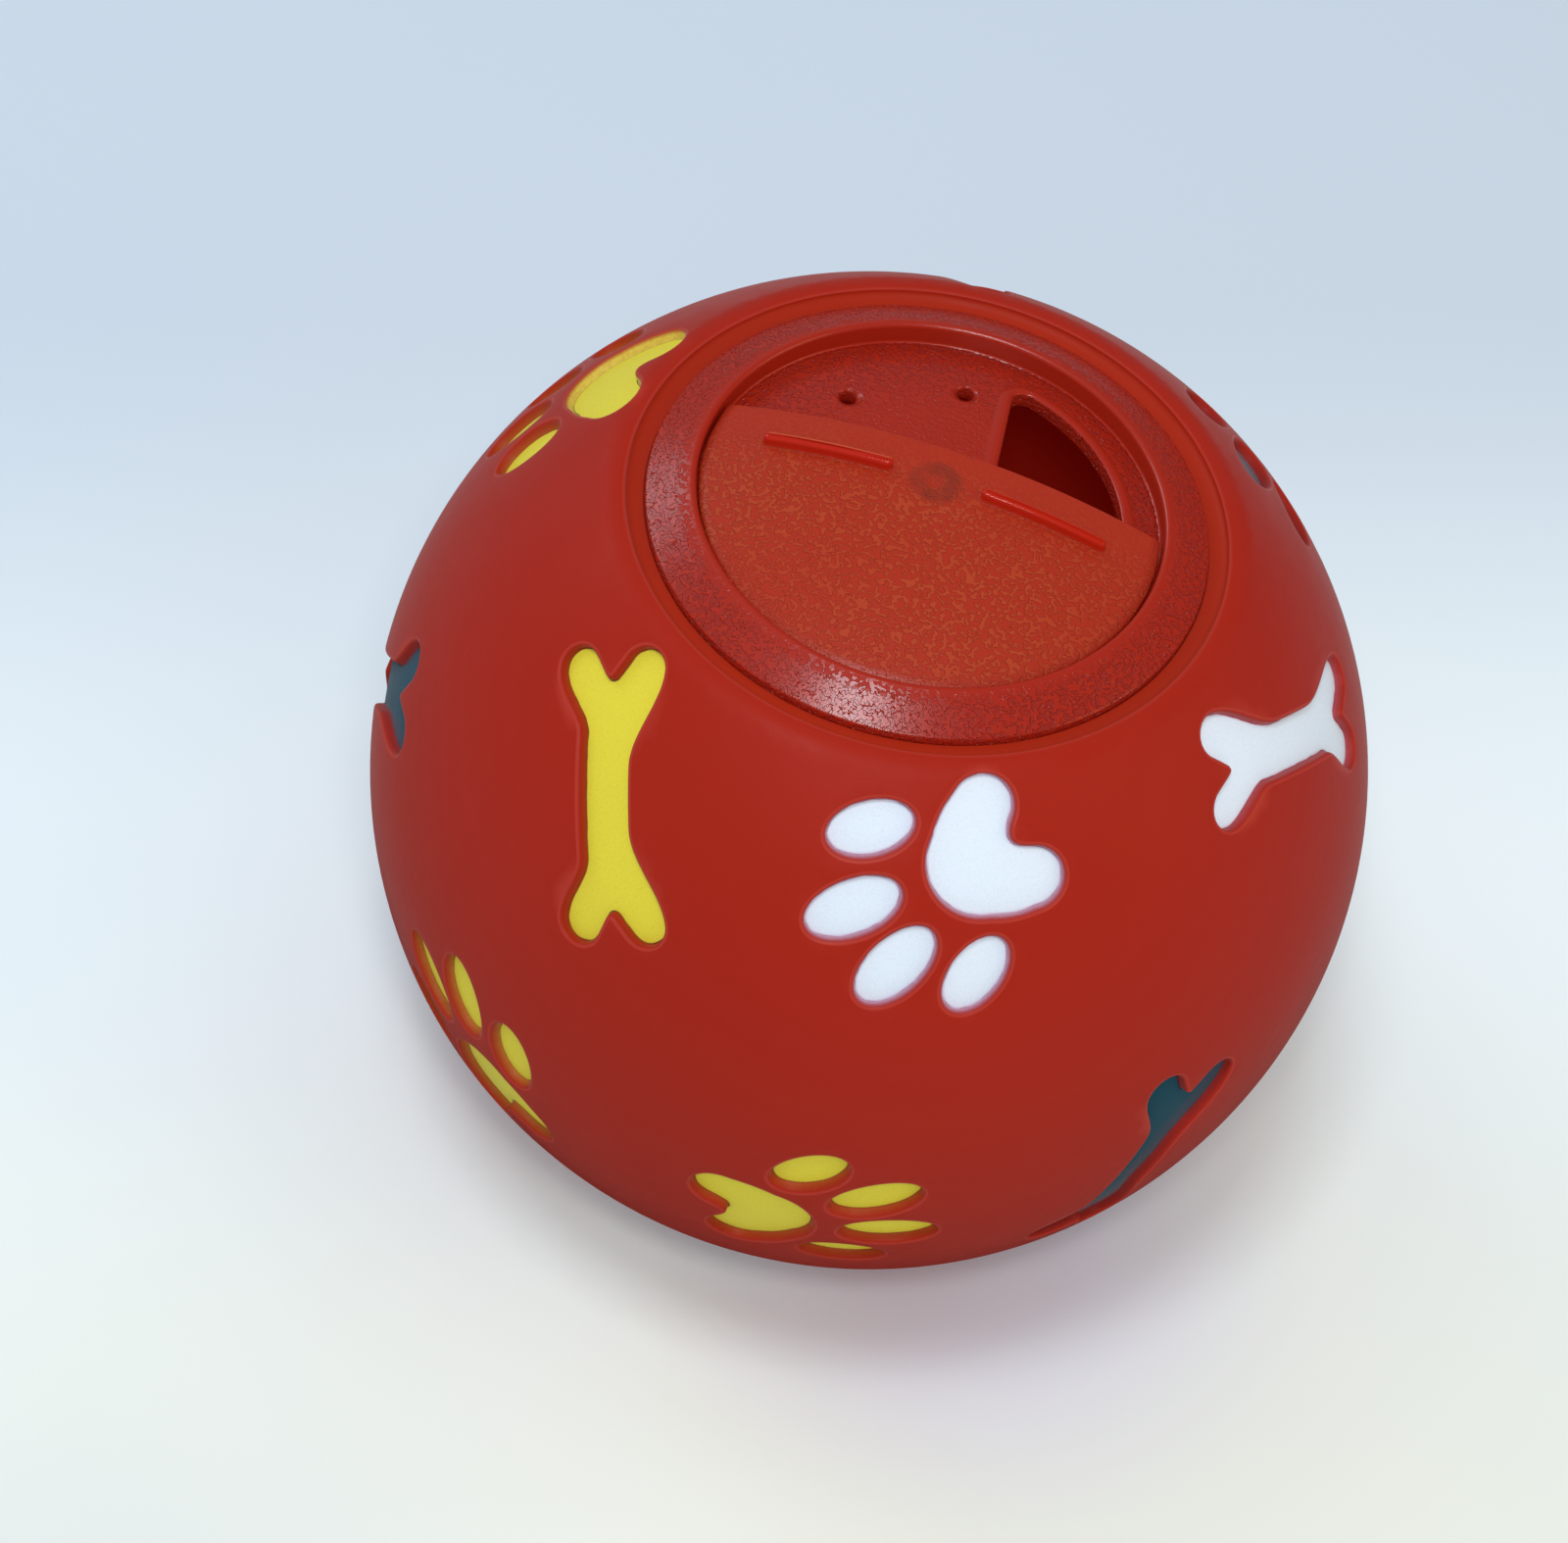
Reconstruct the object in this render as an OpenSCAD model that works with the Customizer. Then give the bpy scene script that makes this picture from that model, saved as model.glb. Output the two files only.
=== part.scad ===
// Treat dispensing ball: a hollow vinyl ball with recessed, painted bones and paws, a snap-in plug whose
// dished floor has a treat opening, and a half-disc shutter that turns on a split stud.
// The origin is the centre of the ball and the plug's axis is +Z.

/* [Ball] */
// Outside diameter of the ball
ball_d = 110; // [106:1:124]
// Thickness of the vinyl wall
shell_wall = 3.2; // [2.8:0.1:4]
// Depth of the recessed bones and paws
recess_deep = 1.8; // [1:0.1:2.2]
// Thickness of the sprayed paint on a recess floor
paint_t = 0.2; // [0.1:0.05:0.4]
// Unpainted strip between the paint and the recess wall
paint_gap = 0.1; // [0:0.05:0.3]

/* [Mouth] */
// Width of the land, from its crease to where it would meet the sphere
land_w = 1.655; // [1.2:0.005:2.5]
// Radius that blends the land into the sphere
rim_blend = 2.5; // [0.5:0.1:3]
// Width of the channel between the plug's flange and the crease of the land
channel_w = 2.05; // [1.6:0.05:2.2]
// Depth of the channel, from the land to the seat of the flange
channel_deep = 1.3; // [0.8:0.1:1.6]
// Radius of the channel's outer wall
channel_round = 1.2; // [0.4:0.1:1.3]
// Width of the seat under the flange
seat_w = 2.15; // [1.8:0.05:2.6]
// Length of the collar that the plug snaps into
collar_len = 4.2; // [3:0.1:6]
// Thickness of the collar
collar_t = 3.4; // [3:0.1:5]

/* [Plug] */
// Outside diameter of the flange as a share of the ball's
flange_share = 0.539; // [0.52:0.001:0.56]
// Height of the flange's outer edge
flange_edge = 1.1; // [0.8:0.1:1.6]
// Rise of the sloping flange from its outer edge to the lip of the dish
flange_rise = 2.65; // [2:0.05:3.5]
// Rounding of the lip of the dish
lip_round = 0.5; // [0.2:0.1:0.7]
// Rounding of the flange's outer edge
edge_round = 0.35; // [0.1:0.05:0.5]
// Width of the flange's slope, from the dish to the outer edge
slope_w = 5.115; // [4.5:0.005:6]
// Clearance between the neck and the collar
neck_clear = 0.1; // [0.05:0.05:0.3]
// Thickness of the neck wall
neck_wall = 2; // [1.4:0.1:2.2]
// How far the snap bead stands out from the neck
snap_out = 0.9; // [0.5:0.1:1.2]
// Height of the snap bead
snap_h = 1.5; // [1:0.1:2.5]
// Thickness of the dish floor
floor_t = 1.6; // [1.2:0.1:2]
// Thickness of the ring that joins the floor to the neck, below the floor
floor_join = 0.6; // [0.3:0.1:1]

/* [Treat opening] */
// Distance of the opening's straight left side from the hub
opening_off = 0.8; // [0.5:0.1:2]
// Distance of the opening's lower side beyond the pivot
opening_low = 2; // [0:0.5:4]
// Distance of the opening's curved side from the wall of the dish
opening_edge = 4.33; // [3.5:0.01:6]
// Rounding of the opening's corners
opening_round = 1.5; // [1:0.1:2.5]
// Width of the raised bead round the opening
bead_w = 1.3; // [0.8:0.1:1.5]
// Height of the raised bead
bead_h = 0.2; // [0.1:0.05:0.25]
// Diameter of the two small holes
hole_d = 1.8; // [1:0.1:2.5]
// Diameter of the countersink round a small hole
hole_sink_d = 2.9; // [2.7:0.1:4]
// Distance of the small holes' centres from the wall of the dish
hole_edge = 8.13; // [5:0.01:10]

/* [Shutter] */
// Clearance between the shutter and the wall of the dish
shutter_clear = 0.33; // [0.3:0.01:0.6]
// Thickness of the shutter
shutter_t = 1; // [0.8:0.1:1.4]
// Depth of the shutter's edge below the lip of the dish
shutter_sink = 1.32; // [1:0.02:1.8]
// Radius of the shutter's dome
dome_r = 78.2; // [70:0.1:100]
// Distance of the straight edge beyond the pivot
chord_out = 5; // [4.5:0.1:6]
// Running gap between the shutter and the dish floor
run_gap = 0.5; // [0.4:0.05:0.8]
// Distance of each rib's near end from the pivot
rib_in = 4.8; // [3:0.1:8]
// Distance of each rib's far end from the shutter's round edge
rib_edge = 6.2; // [3:0.1:10]
// Width of a finger rib
rib_w = 1; // [0.8:0.1:1.6]
// Height of a finger rib
rib_h = 1.3; // [1:0.1:2]
// Diameter of the shallow sink mark over the stud
sink_mark_d = 3; // [2:0.1:4]
// Depth of the sink mark
sink_mark_deep = 0.15; // [0.05:0.05:0.2]

/* [Pivot] */
// Diameter of the shutter's stud
stud_d = 5; // [4:0.1:5.4]
// Clearance between the stud and its bore, on the radius
stud_clear = 0.05; // [0.03:0.01:0.09]
// Play of the stud along its axis
stud_play = 0.1; // [0.05:0.05:0.2]
// Thickness of the hub's wall round the stud
hub_wall = 2.45; // [2:0.05:3]
// Length of the hub
hub_len = 4.2; // [3.6:0.1:5]
// How far the shutter's shoulder, which rests over the hub, stands out from the stud
shoulder_out = 1.4; // [1:0.1:1.8]
// How far each half of the snap head stands out from the stud
head_out = 0.6; // [0.4:0.05:0.8]
// Height of the snap head
head_h = 1.5; // [1:0.1:2.5]
// Width of the slot that splits the stud
slot_w = 1.2; // [0.8:0.1:1.6]
// Length of the stud that stays whole above the slot
stud_whole = 2; // [1.5:0.1:2.6]

/* [Paw] */
// Radius of the round top of the pad
pad_r = 5.7; // [5:0.1:6.2]
// Distance of the pad's round top from the middle of the paw
pad_back = 6.1; // [5.5:0.1:7]
// Radius of a lobe of the pad
lobe_r = 3.1; // [2.6:0.1:3.4]
// Sideways distance of a lobe's centre
lobe_side = 4.55; // [4:0.05:5]
// Distance of the lobes' centres from the middle of the paw
lobe_back = 9.2; // [8.6:0.1:10]
// Distance of the notch between the lobes from the middle of the paw
pad_notch = 9.4; // [8.6:0.1:10]
// Half length of an inner toe
inner_long = 5; // [4:0.1:5.4]
// Half width of an inner toe
inner_wide = 2.8; // [2.2:0.1:3]
// Sideways distance of an inner toe's centre
inner_side = 3.75; // [3.5:0.05:4.2]
// Distance of an inner toe's centre ahead of the middle of the paw
inner_ahead = 7.2; // [6.8:0.1:8]
// Half length of an outer toe
outer_long = 4.4; // [3.6:0.1:4.8]
// Half width of an outer toe
outer_wide = 2.65; // [2.2:0.05:2.8]
// Sideways distance of an outer toe's centre
outer_side = 9.4; // [9:0.1:10]
// Distance of an outer toe's centre ahead of the middle of the paw
outer_ahead = 1.15; // [0.8:0.05:2]

/* [Bone] */
// Length of a bone as a share of the ball's diameter, to which the paws keep their proportion
bone_share = 0.2727; // [0.24:0.0001:0.28]
// Distance of a knob's centre from the middle of the bone, along it
knob_ahead = 12.85; // [12:0.05:13.5]
// Sideways distance of a knob's centre
knob_side = 3.8; // [3.4:0.1:4.2]
// Radius of a knob
knob_r = 2.15; // [1.8:0.05:2.6]
// Half width of the shaft
shaft_half = 2.65; // [2.2:0.05:3]
// Distance from the middle at which the shaft begins to flare
flare_ahead = 5.5; // [3:0.1:7]
// Distance of the notch between two knobs from the middle
bone_notch = 11.7; // [11:0.1:12.4]
// Radius at the bottom of that notch
bone_notch_r = 0.7; // [0.5:0.05:0.9]

/* [Hidden] */

$fn = 96;

// Each motif: its node, its shape, its colour, its angle down from +Z, its angle round the axis from +X,
// and its turn in the surface. The first six ring the mouth, the next eight lie round the middle and the
// last four lie underneath.
MOTIFS = [
    ["yellow_bone_front", "bone", "#E0D442", 54.7, -124.7, 36.7],
    ["white_paw_front", "paw", "#E6EAF2", 51.1, -77.3, 129.7],
    ["white_bone_right", "bone", "#E6EAF2", 53.2, -12.1, 60.2],
    ["teal_paw_back_right", "paw", "#165C70", 55.1, 41.3, 53.7],
    ["teal_bone_back", "bone", "#165C70", 53, 99.1, 45],
    ["yellow_paw_back_left", "paw", "#E0D442", 51, 160.3, -178.1],
    ["teal_bone_side_left", "bone", "#165C70", 83.7, -171.2, -44.7],
    ["yellow_paw_side_front_left", "paw", "#E0D442", 100.6, -130.5, 34.5],
    ["yellow_paw_side_front", "paw", "#E0D442", 99.1, -84.3, -72.6],
    ["teal_bone_side_front_right", "bone", "#165C70", 96.7, -45.8, -18.2],
    ["white_paw_side_right", "paw", "#E6EAF2", 100, 1, 40],
    ["yellow_bone_side_back_right", "bone", "#E0D442", 99, 48, -30],
    ["white_bone_side_back", "bone", "#E6EAF2", 98, 95, 50],
    ["teal_paw_side_back_left", "paw", "#165C70", 100, 142, -60],
    ["white_bone_under_front", "bone", "#E6EAF2", 146, -105, 60],
    ["teal_paw_under_right", "paw", "#165C70", 146, -15, 140],
    ["yellow_bone_under_back", "bone", "#E0D442", 146, 75, 30],
    ["white_paw_under_left", "paw", "#E6EAF2", 146, 165, -45]
];

// Overrun of a cut past the faces it goes through
over = 1;
// Angle of the shutter's straight edge and ribs, as photographed
rib_angle = -6;
// Angles of the two small holes round the pivot
hole_angles = [132.7, 87.1];
// Angle round the axis at which every sphere starts, clear of the motifs
start_angle = 17;
// Lean of the inner and outer toes
inner_lean_angle = 12;
outer_lean_angle = 21;
// Where the lobe's arc ends at the notch, and where the knob's arc ends
lobe_end_angle = 240;
knob_end_angle = 150;
notch_start_angle = 35;
// Points along a toe, an arc, a bone's flank and a notch
toe_points = 22;
arc_points = 9;
flank_points = 6;
notch_points = 3;
// Slope of the lead-in under the snap bead, and of the snap head, as shares of their heights
lead_share = 0.7;

ball_r = ball_d / 2;
cavity_r = ball_r - shell_wall;
floor_r = ball_r - recess_deep;
flange_r = ball_r * flange_share;
crease_r = flange_r + channel_w;
rim_r = crease_r + land_w;
bore_r = flange_r - seat_w;
collar_r = bore_r + collar_t;
neck_r = bore_r - neck_clear;
neck_in_r = neck_r - neck_wall;
dish_r = flange_r - slope_w;
land_z = sqrt(pow(ball_r, 2) - pow(rim_r, 2));
seat_z = land_z - channel_deep;
collar_z = seat_z - collar_len;
flange_z = seat_z + flange_edge;
lip_z = flange_z + flange_rise;
shutter_r = dish_r - shutter_clear;
rib_out = shutter_r - rib_edge;
opening_r = dish_r - opening_edge;
hole_ring_r = dish_r - hole_edge;
dome_z = lip_z - shutter_sink - sqrt(pow(dome_r, 2) - pow(shutter_r, 2));
under_r = dome_r - shutter_t;
floor_top_r = under_r - run_gap;
floor_low_r = floor_top_r - floor_t;
hub_top_z = dome_z + floor_top_r;
hub_low_z = hub_top_z - hub_len;
shoulder_z = hub_top_z + stud_play;
head_top_z = hub_low_z - stud_play;
head_low_z = head_top_z - head_h;
stud_r = stud_d / 2;
hub_r = stud_r + stud_clear + hub_wall;
opening_x = hub_r + opening_off;
snap_top_z = collar_z - neck_clear;
snap_low_z = snap_top_z - snap_h;
neck_low_z = snap_low_z - neck_clear;
floor_edge_z = dome_z + sqrt(pow(floor_low_r, 2) - pow(dish_r, 2)) - floor_join;
slope = atan2(flange_rise, slope_w);
motif_scale = ball_d * bone_share / (2 * (knob_ahead + knob_r));
motif_half = motif_scale * (knob_ahead + knob_side);

// Points of an arc about c with radius r, from angle a to angle b in n steps
function arc_at(c, r, a, b, n) = [for (i = [0 : n]) c + r * [cos(a + (b - a) * i / n), sin(a + (b - a) * i / n)]];
// A list backwards, without its first and last k entries
function backwards(p, k, j) = [for (i = [len(p) - 1 - k : -1 : j]) p[i]];
function flip(p) = [for (q = p) [-q.x, q.y]];
function half_turn(p) = [for (q = p) -q];
function ease(t) = let (s = min(max(t, 0), 1)) s * s * (3 - 2 * s);

// Pad of a paw, grown by g: a round top, two lobes and the notch between them
function pad_outline(g) =
    let (top = [0, -pad_back],
         lobe = [lobe_side, -lobe_back],
         d = lobe - top,
         a = atan2(d.y, d.x) + acos((pad_r - lobe_r) / norm(d)),
         right = arc_at(lobe, lobe_r + g, lobe_end_angle - 360, a, arc_points))
    concat(right, arc_at(top, pad_r + g, a, 180 - a, arc_points),
           backwards(flip(right), 0, 0), [[0, -pad_notch - g]]);

// Toe of a paw, grown by g
function toe_outline(c, long, wide, lean, g) =
    [for (i = [0 : toe_points - 1])
        let (t = 360 * i / toe_points,
             x = (wide + g) * cos(t),
             y = (long + g) * sin(t))
        c + [x * cos(lean) - y * sin(lean), x * sin(lean) + y * cos(lean)]];

function paw_outlines(g) = concat(
    [pad_outline(g)],
    [for (s = [-1, 1]) toe_outline([s * inner_side, inner_ahead], inner_long, inner_wide, -s * inner_lean_angle, g)],
    [for (s = [-1, 1]) toe_outline([s * outer_side, outer_ahead], outer_long, outer_wide, -s * outer_lean_angle, g)]);

// A quarter of a bone, grown by g: the flank, the knob and half of the notch
function bone_quarter(g) = concat(
    [[shaft_half + g, 0]],
    [for (i = [0 : flank_points - 1])
        let (y = flare_ahead + (knob_ahead - flare_ahead) * i / flank_points)
        [shaft_half + g + (knob_side + knob_r - shaft_half) * ease(i / flank_points), y]],
    arc_at([knob_side, knob_ahead], knob_r + g, 0, knob_end_angle, arc_points),
    arc_at([0, bone_notch + bone_notch_r], bone_notch_r - g, -notch_start_angle, -90, notch_points));

function bone_outlines(g) =
    let (q = bone_quarter(g),
         half = concat(q, backwards(flip(q), 1, 0)),
         rest = [for (i = [1 : len(half) - 2]) half[i]])
    [concat(half, half_turn(rest))];

function outlines(kind, g) = kind == "paw" ? paw_outlines(g) : bone_outlines(g);

// Treat opening, grown by g, seen from above
function opening_outline(g) =
    let (in_x = opening_x + opening_round,
         low_y = opening_round - opening_low,
         in_r = opening_r - opening_round,
         a = [in_x, sqrt(pow(in_r, 2) - pow(in_x, 2))],
         b = [sqrt(pow(in_r, 2) - pow(low_y, 2)), low_y],
         angle_a = atan2(a.y, a.x),
         angle_b = atan2(b.y, b.x),
         corner = opening_round + g)
    concat(arc_at([in_x, low_y], corner, 180, 270, arc_points),
           arc_at(b, corner, -90, angle_b, arc_points),
           arc_at([0, 0], opening_r + g, angle_b, angle_a, 2 * arc_points),
           arc_at(a, corner, angle_a, 180, arc_points));

// Sphere about the ball's centre
module ball_sphere(r) {
    rotate([0, 0, start_angle])
        sphere(r = r);
}

// Sphere about the centre of the shutter's dome
module dome(r) {
    translate([0, 0, dome_z])
        rotate([0, 0, start_angle])
            sphere(r = r, $fn = 160);
}

module at_motif(m) {
    rotate([0, m[3], m[4]])
        rotate([0, 0, 90 + m[5]])
            children();
}

// Straight walled core of a motif, grown by g, from below the recess floor to outside the ball
module motif_core(m, g) {
    low = sqrt(pow(floor_r, 2) - pow(motif_half, 2)) - over;
    at_motif(m)
        translate([0, 0, low])
            for (p = outlines(m[1], g / motif_scale))
                linear_extrude(ball_r + over - low)
                    polygon(motif_scale * p);
}

// What the mouth removes: the land with its blend, the channel, the seat and the bore of the collar
module mouth_cut() {
    blend_z = land_z - rim_blend;
    blend_r = sqrt(pow(ball_r - rim_blend, 2) - pow(blend_z, 2));
    blend_a = atan2(blend_z, blend_r);
    rotate_extrude()
        polygon(concat(
            [[0, ball_r + over], [ball_r * cos(blend_a) + over, ball_r + over]],
            [(ball_r + over) * [cos(blend_a), sin(blend_a)]],
            arc_at([blend_r, blend_z], rim_blend, blend_a, 90, arc_points),
            [[crease_r, land_z]],
            arc_at([crease_r - channel_round, seat_z + channel_round], channel_round, 0, -90, arc_points),
            [[bore_r, seat_z], [bore_r, collar_z - over], [0, collar_z - over]]));
}

// The hollow vinyl ball with its rolled mouth and its recesses
module ball_shell() {
    color("#A82418")
        difference() {
            ball_sphere(ball_r);
            difference() {
                ball_sphere(cavity_r);
                translate([0, 0, collar_z])
                    cylinder(r = collar_r, h = ball_r - collar_z);
            }
            mouth_cut();
            difference() {
                for (m = MOTIFS)
                    motif_core(m, 0);
                ball_sphere(floor_r);
            }
        }
}

// Flange, dish wall, neck and snap bead in one section
module plug_ring() {
    lip_c = [dish_r + lip_round, lip_z - lip_round * tan(slope) - lip_round / cos(slope)];
    edge_c = [flange_r - edge_round, flange_z + edge_round * tan(slope) - edge_round / cos(slope)];
    rotate_extrude()
        polygon(concat(
            [[dish_r, floor_edge_z]],
            arc_at(lip_c, lip_round, 180, 90 - slope, arc_points),
            arc_at(edge_c, edge_round, 90 - slope, 0, arc_points),
            [[flange_r, seat_z], [neck_r, seat_z], [neck_r, snap_top_z]],
            [[neck_r + snap_out, snap_top_z - (1 - lead_share) * snap_h]],
            [[neck_r + snap_out, snap_top_z - lead_share * snap_h]],
            [[neck_r, neck_low_z], [neck_in_r, neck_low_z], [neck_in_r, floor_edge_z]]));
}

module opening_core(g) {
    translate([0, 0, hub_low_z])
        linear_extrude(ball_r - hub_low_z)
            polygon(opening_outline(g));
}

// A small through hole with its countersink
module small_hole(a) {
    top_z = dome_z + sqrt(pow(floor_top_r, 2) - pow(hole_ring_r, 2));
    sink = (hole_sink_d - hole_d) / 2;
    rotate([0, 0, a])
        translate([hole_ring_r, 0, 0]) {
            translate([0, 0, hub_low_z - floor_t])
                cylinder(d = hole_d, h = ball_r - hub_low_z);
            translate([0, 0, top_z - sink])
                cylinder(d1 = hole_d, d2 = hole_sink_d + 2 * sink, h = 2 * sink);
        }
}

// The snap-in plug with its domed floor, treat opening, small holes and hub
module insert_plug() {
    color("#B92D16")
        difference() {
            union() {
                plug_ring();
                intersection() {
                    translate([0, 0, floor_edge_z])
                        cylinder(r = (dish_r + neck_in_r) / 2, h = hub_top_z - floor_edge_z);
                    difference() {
                        dome(floor_top_r);
                        dome(floor_low_r);
                    }
                }
                intersection() {
                    opening_core(bead_w);
                    difference() {
                        dome(floor_top_r + bead_h);
                        dome(floor_low_r);
                    }
                }
                translate([0, 0, hub_low_z])
                    cylinder(r = hub_r, h = hub_len);
            }
            opening_core(0);
            for (a = hole_angles)
                small_hole(a);
            translate([0, 0, hub_low_z - over])
                cylinder(r = stud_r + stud_clear, h = hub_len + 2 * over);
        }
}

// A finger rib that follows the dome, with a round back and round ends
module rib(side) {
    start = asin(rib_in / dome_r);
    end = asin(rib_out / dome_r);
    back_r = dome_r + rib_h - rib_w / 2;
    root_r = dome_r - shutter_t / 2;
    rotate([0, 0, rib_angle + 90 * (1 - side)])
        translate([0, 0, dome_z])
            rotate([90, 0, 0])
                rotate([0, 0, 90 - end]) {
                    rotate_extrude(angle = end - start, $fn = 720)
                        translate([root_r, 0]) {
                            translate([0, -rib_w / 2])
                                square([back_r - root_r, rib_w]);
                            translate([back_r - root_r, 0])
                                circle(d = rib_w, $fn = 48);
                        }
                    for (a = [0, end - start])
                        rotate([0, 0, a]) {
                            translate([root_r, 0, 0])
                                rotate([0, 90, 0])
                                    cylinder(d = rib_w, h = back_r - root_r, $fn = 48);
                            translate([back_r, 0, 0])
                                sphere(d = rib_w, $fn = 48);
                        }
                }
}

// The stud with its shoulder and its split snap head
module stud() {
    translate([0, 0, shoulder_z])
        cylinder(r = stud_r + shoulder_out, h = dome_z + under_r + shutter_t / 2 - shoulder_z);
    translate([0, 0, head_low_z])
        cylinder(r = stud_r, h = shoulder_z - head_low_z + shutter_t / 2);
    translate([0, 0, head_low_z])
        cylinder(r1 = stud_r, r2 = stud_r + head_out, h = lead_share * head_h);
    translate([0, 0, head_low_z + lead_share * head_h])
        cylinder(r = stud_r + head_out, h = (1 - lead_share) * head_h);
}

// The half-disc shutter with its two finger ribs, sink mark and stud
module shutter() {
    mark_r = (pow(sink_mark_d / 2, 2) + pow(sink_mark_deep, 2)) / (2 * sink_mark_deep);
    color("#B02A16")
        difference() {
            union() {
                difference() {
                    intersection() {
                        cylinder(r = shutter_r, h = ball_r);
                        difference() {
                            dome(dome_r);
                            dome(under_r);
                        }
                    }
                    rotate([0, 0, rib_angle])
                        translate([-dish_r, chord_out, 0])
                            cube([2 * dish_r, dish_r, ball_r]);
                }
                for (side = [-1, 1])
                    rib(side);
                stud();
            }
            translate([0, 0, dome_z + dome_r + mark_r - sink_mark_deep])
                sphere(r = mark_r);
            rotate([0, 0, rib_angle])
                translate([-stud_d, -slot_w / 2, head_low_z - over])
                    cube([2 * stud_d, slot_w, shoulder_z - stud_whole - head_low_z + over]);
        }
}

// Paint on the floor of one motif
module paint(m) {
    color(m[2])
        intersection() {
            motif_core(m, -paint_gap);
            difference() {
                ball_sphere(floor_r + paint_t);
                ball_sphere(floor_r);
            }
        }
}

ball_shell();
insert_plug();
shutter();
for (m = MOTIFS)
    paint(m);
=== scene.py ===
import bpy
import math
import numpy as np
from mathutils import Matrix, Vector
from mathutils.geometry import delaunay_2d_cdt


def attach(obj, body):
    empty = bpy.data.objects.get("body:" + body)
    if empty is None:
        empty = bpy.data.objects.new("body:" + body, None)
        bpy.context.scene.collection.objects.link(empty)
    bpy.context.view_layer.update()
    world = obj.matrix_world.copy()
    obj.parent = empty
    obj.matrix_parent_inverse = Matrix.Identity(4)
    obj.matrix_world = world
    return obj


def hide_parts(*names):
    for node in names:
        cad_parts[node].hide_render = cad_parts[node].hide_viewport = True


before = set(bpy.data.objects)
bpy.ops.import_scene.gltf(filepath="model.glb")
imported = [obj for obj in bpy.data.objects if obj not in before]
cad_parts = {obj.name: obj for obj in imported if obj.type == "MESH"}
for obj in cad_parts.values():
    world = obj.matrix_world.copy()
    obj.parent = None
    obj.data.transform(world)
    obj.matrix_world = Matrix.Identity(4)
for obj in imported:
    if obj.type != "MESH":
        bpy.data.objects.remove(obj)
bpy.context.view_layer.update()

mm = 0.001  # sizes below are in millimetres, as in the CAD part, and Blender works in metres
weldDistance, shortestEdge = 0.0005, 0.0001
scene = bpy.context.scene


# helpers for meshes
def selectOnly(*pieces):
    for other in bpy.context.selected_objects:
        other.select_set(False)
    for piece in pieces:
        piece.select_set(True)
    bpy.context.view_layer.objects.active = pieces[0]


def toMode(mode):
    bpy.ops.object.mode_set(mode=mode)


def editAll(piece):
    # into edit mode, with all of the piece selected
    selectOnly(piece)
    toMode("EDIT")
    bpy.ops.mesh.select_all(action="SELECT")


def addRing(points):
    # a circle primitive whose corners are put on the points (x, y, z)
    bpy.ops.object.select_all(action="DESELECT")
    bpy.ops.mesh.primitive_circle_add(vertices=len(points), radius=mm, location=(0, 0, 0))
    ring = bpy.context.object
    for corner, (x, y, z) in zip(ring.data.vertices, points):
        corner.co = (x * mm, y * mm, z * mm)
    return ring


def joinAll(pieces, name):
    selectOnly(*pieces)
    bpy.ops.object.join()
    piece = bpy.context.object
    piece.name = piece.data.name = name
    return piece


def mergeAndTurnOut(piece, distance=weldDistance):
    editAll(piece)
    bpy.ops.mesh.remove_doubles(threshold=distance * mm)
    bpy.ops.mesh.dissolve_degenerate(threshold=shortestEdge * mm)
    bpy.ops.mesh.normals_make_consistent(inside=False)
    toMode("OBJECT")


def spinSection(name, section, steps, closed=True):
    # the half section (radius, height) turned about the ball's axis
    piece = addRing([(r, 0.0, z) for r, z in section])
    selectOnly(piece)
    toMode("EDIT")
    if not closed:  # an open section loses the edge between its last and first corner
        bpy.ops.mesh.select_mode(type="EDGE")
        bpy.ops.mesh.select_all(action="DESELECT")
        toMode("OBJECT")
        last = len(section) - 1
        for edge in piece.data.edges:
            edge.select = set(edge.vertices) == {0, last}
        toMode("EDIT")
        bpy.ops.mesh.delete(type="EDGE_FACE")
        bpy.ops.mesh.select_mode(type="VERT")
    bpy.ops.mesh.select_all(action="SELECT")
    bpy.ops.mesh.spin(steps=steps, angle=math.tau, center=(0, 0, 0), axis=(0, 0, 1))
    toMode("OBJECT")
    piece.name = piece.data.name = name
    mergeAndTurnOut(piece)
    return piece


def stackRings(name, rings):
    # a solid through rings of equally many corners, closed by a face at each end
    piece = joinAll([addRing(ring) for ring in rings], name)
    editAll(piece)
    bpy.ops.mesh.bridge_edge_loops()
    bpy.ops.mesh.select_all(action="DESELECT")
    bpy.ops.mesh.select_non_manifold(extend=False, use_wire=False, use_boundary=True, use_multi_face=False,
                                     use_non_contiguous=False, use_verts=False)
    bpy.ops.mesh.edge_face_add()
    toMode("OBJECT")
    mergeAndTurnOut(piece)
    return piece


def boolean(piece, tool, operation):
    modifier = piece.modifiers.new(operation.lower(), "BOOLEAN")
    modifier.operation = operation
    modifier.solver = "EXACT"
    modifier.object = tool
    selectOnly(piece)
    bpy.ops.object.modifier_apply(modifier=modifier.name)
    bpy.data.objects.remove(tool, do_unlink=True)


def smooth(piece, degrees):
    selectOnly(piece)
    bpy.ops.object.shade_smooth_by_angle(angle=math.radians(degrees))


def turned(points, degrees):
    c, s = math.cos(math.radians(degrees)), math.sin(math.radians(degrees))
    return [(x * c - y * s, x * s + y * c) for x, y in points]


def between(first, last, steps):
    # the points that divide a straight line into equal steps, without its ends
    return [(first[0] + (last[0] - first[0]) * i / steps, first[1] + (last[1] - first[1]) * i / steps)
            for i in range(1, steps)]


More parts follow.
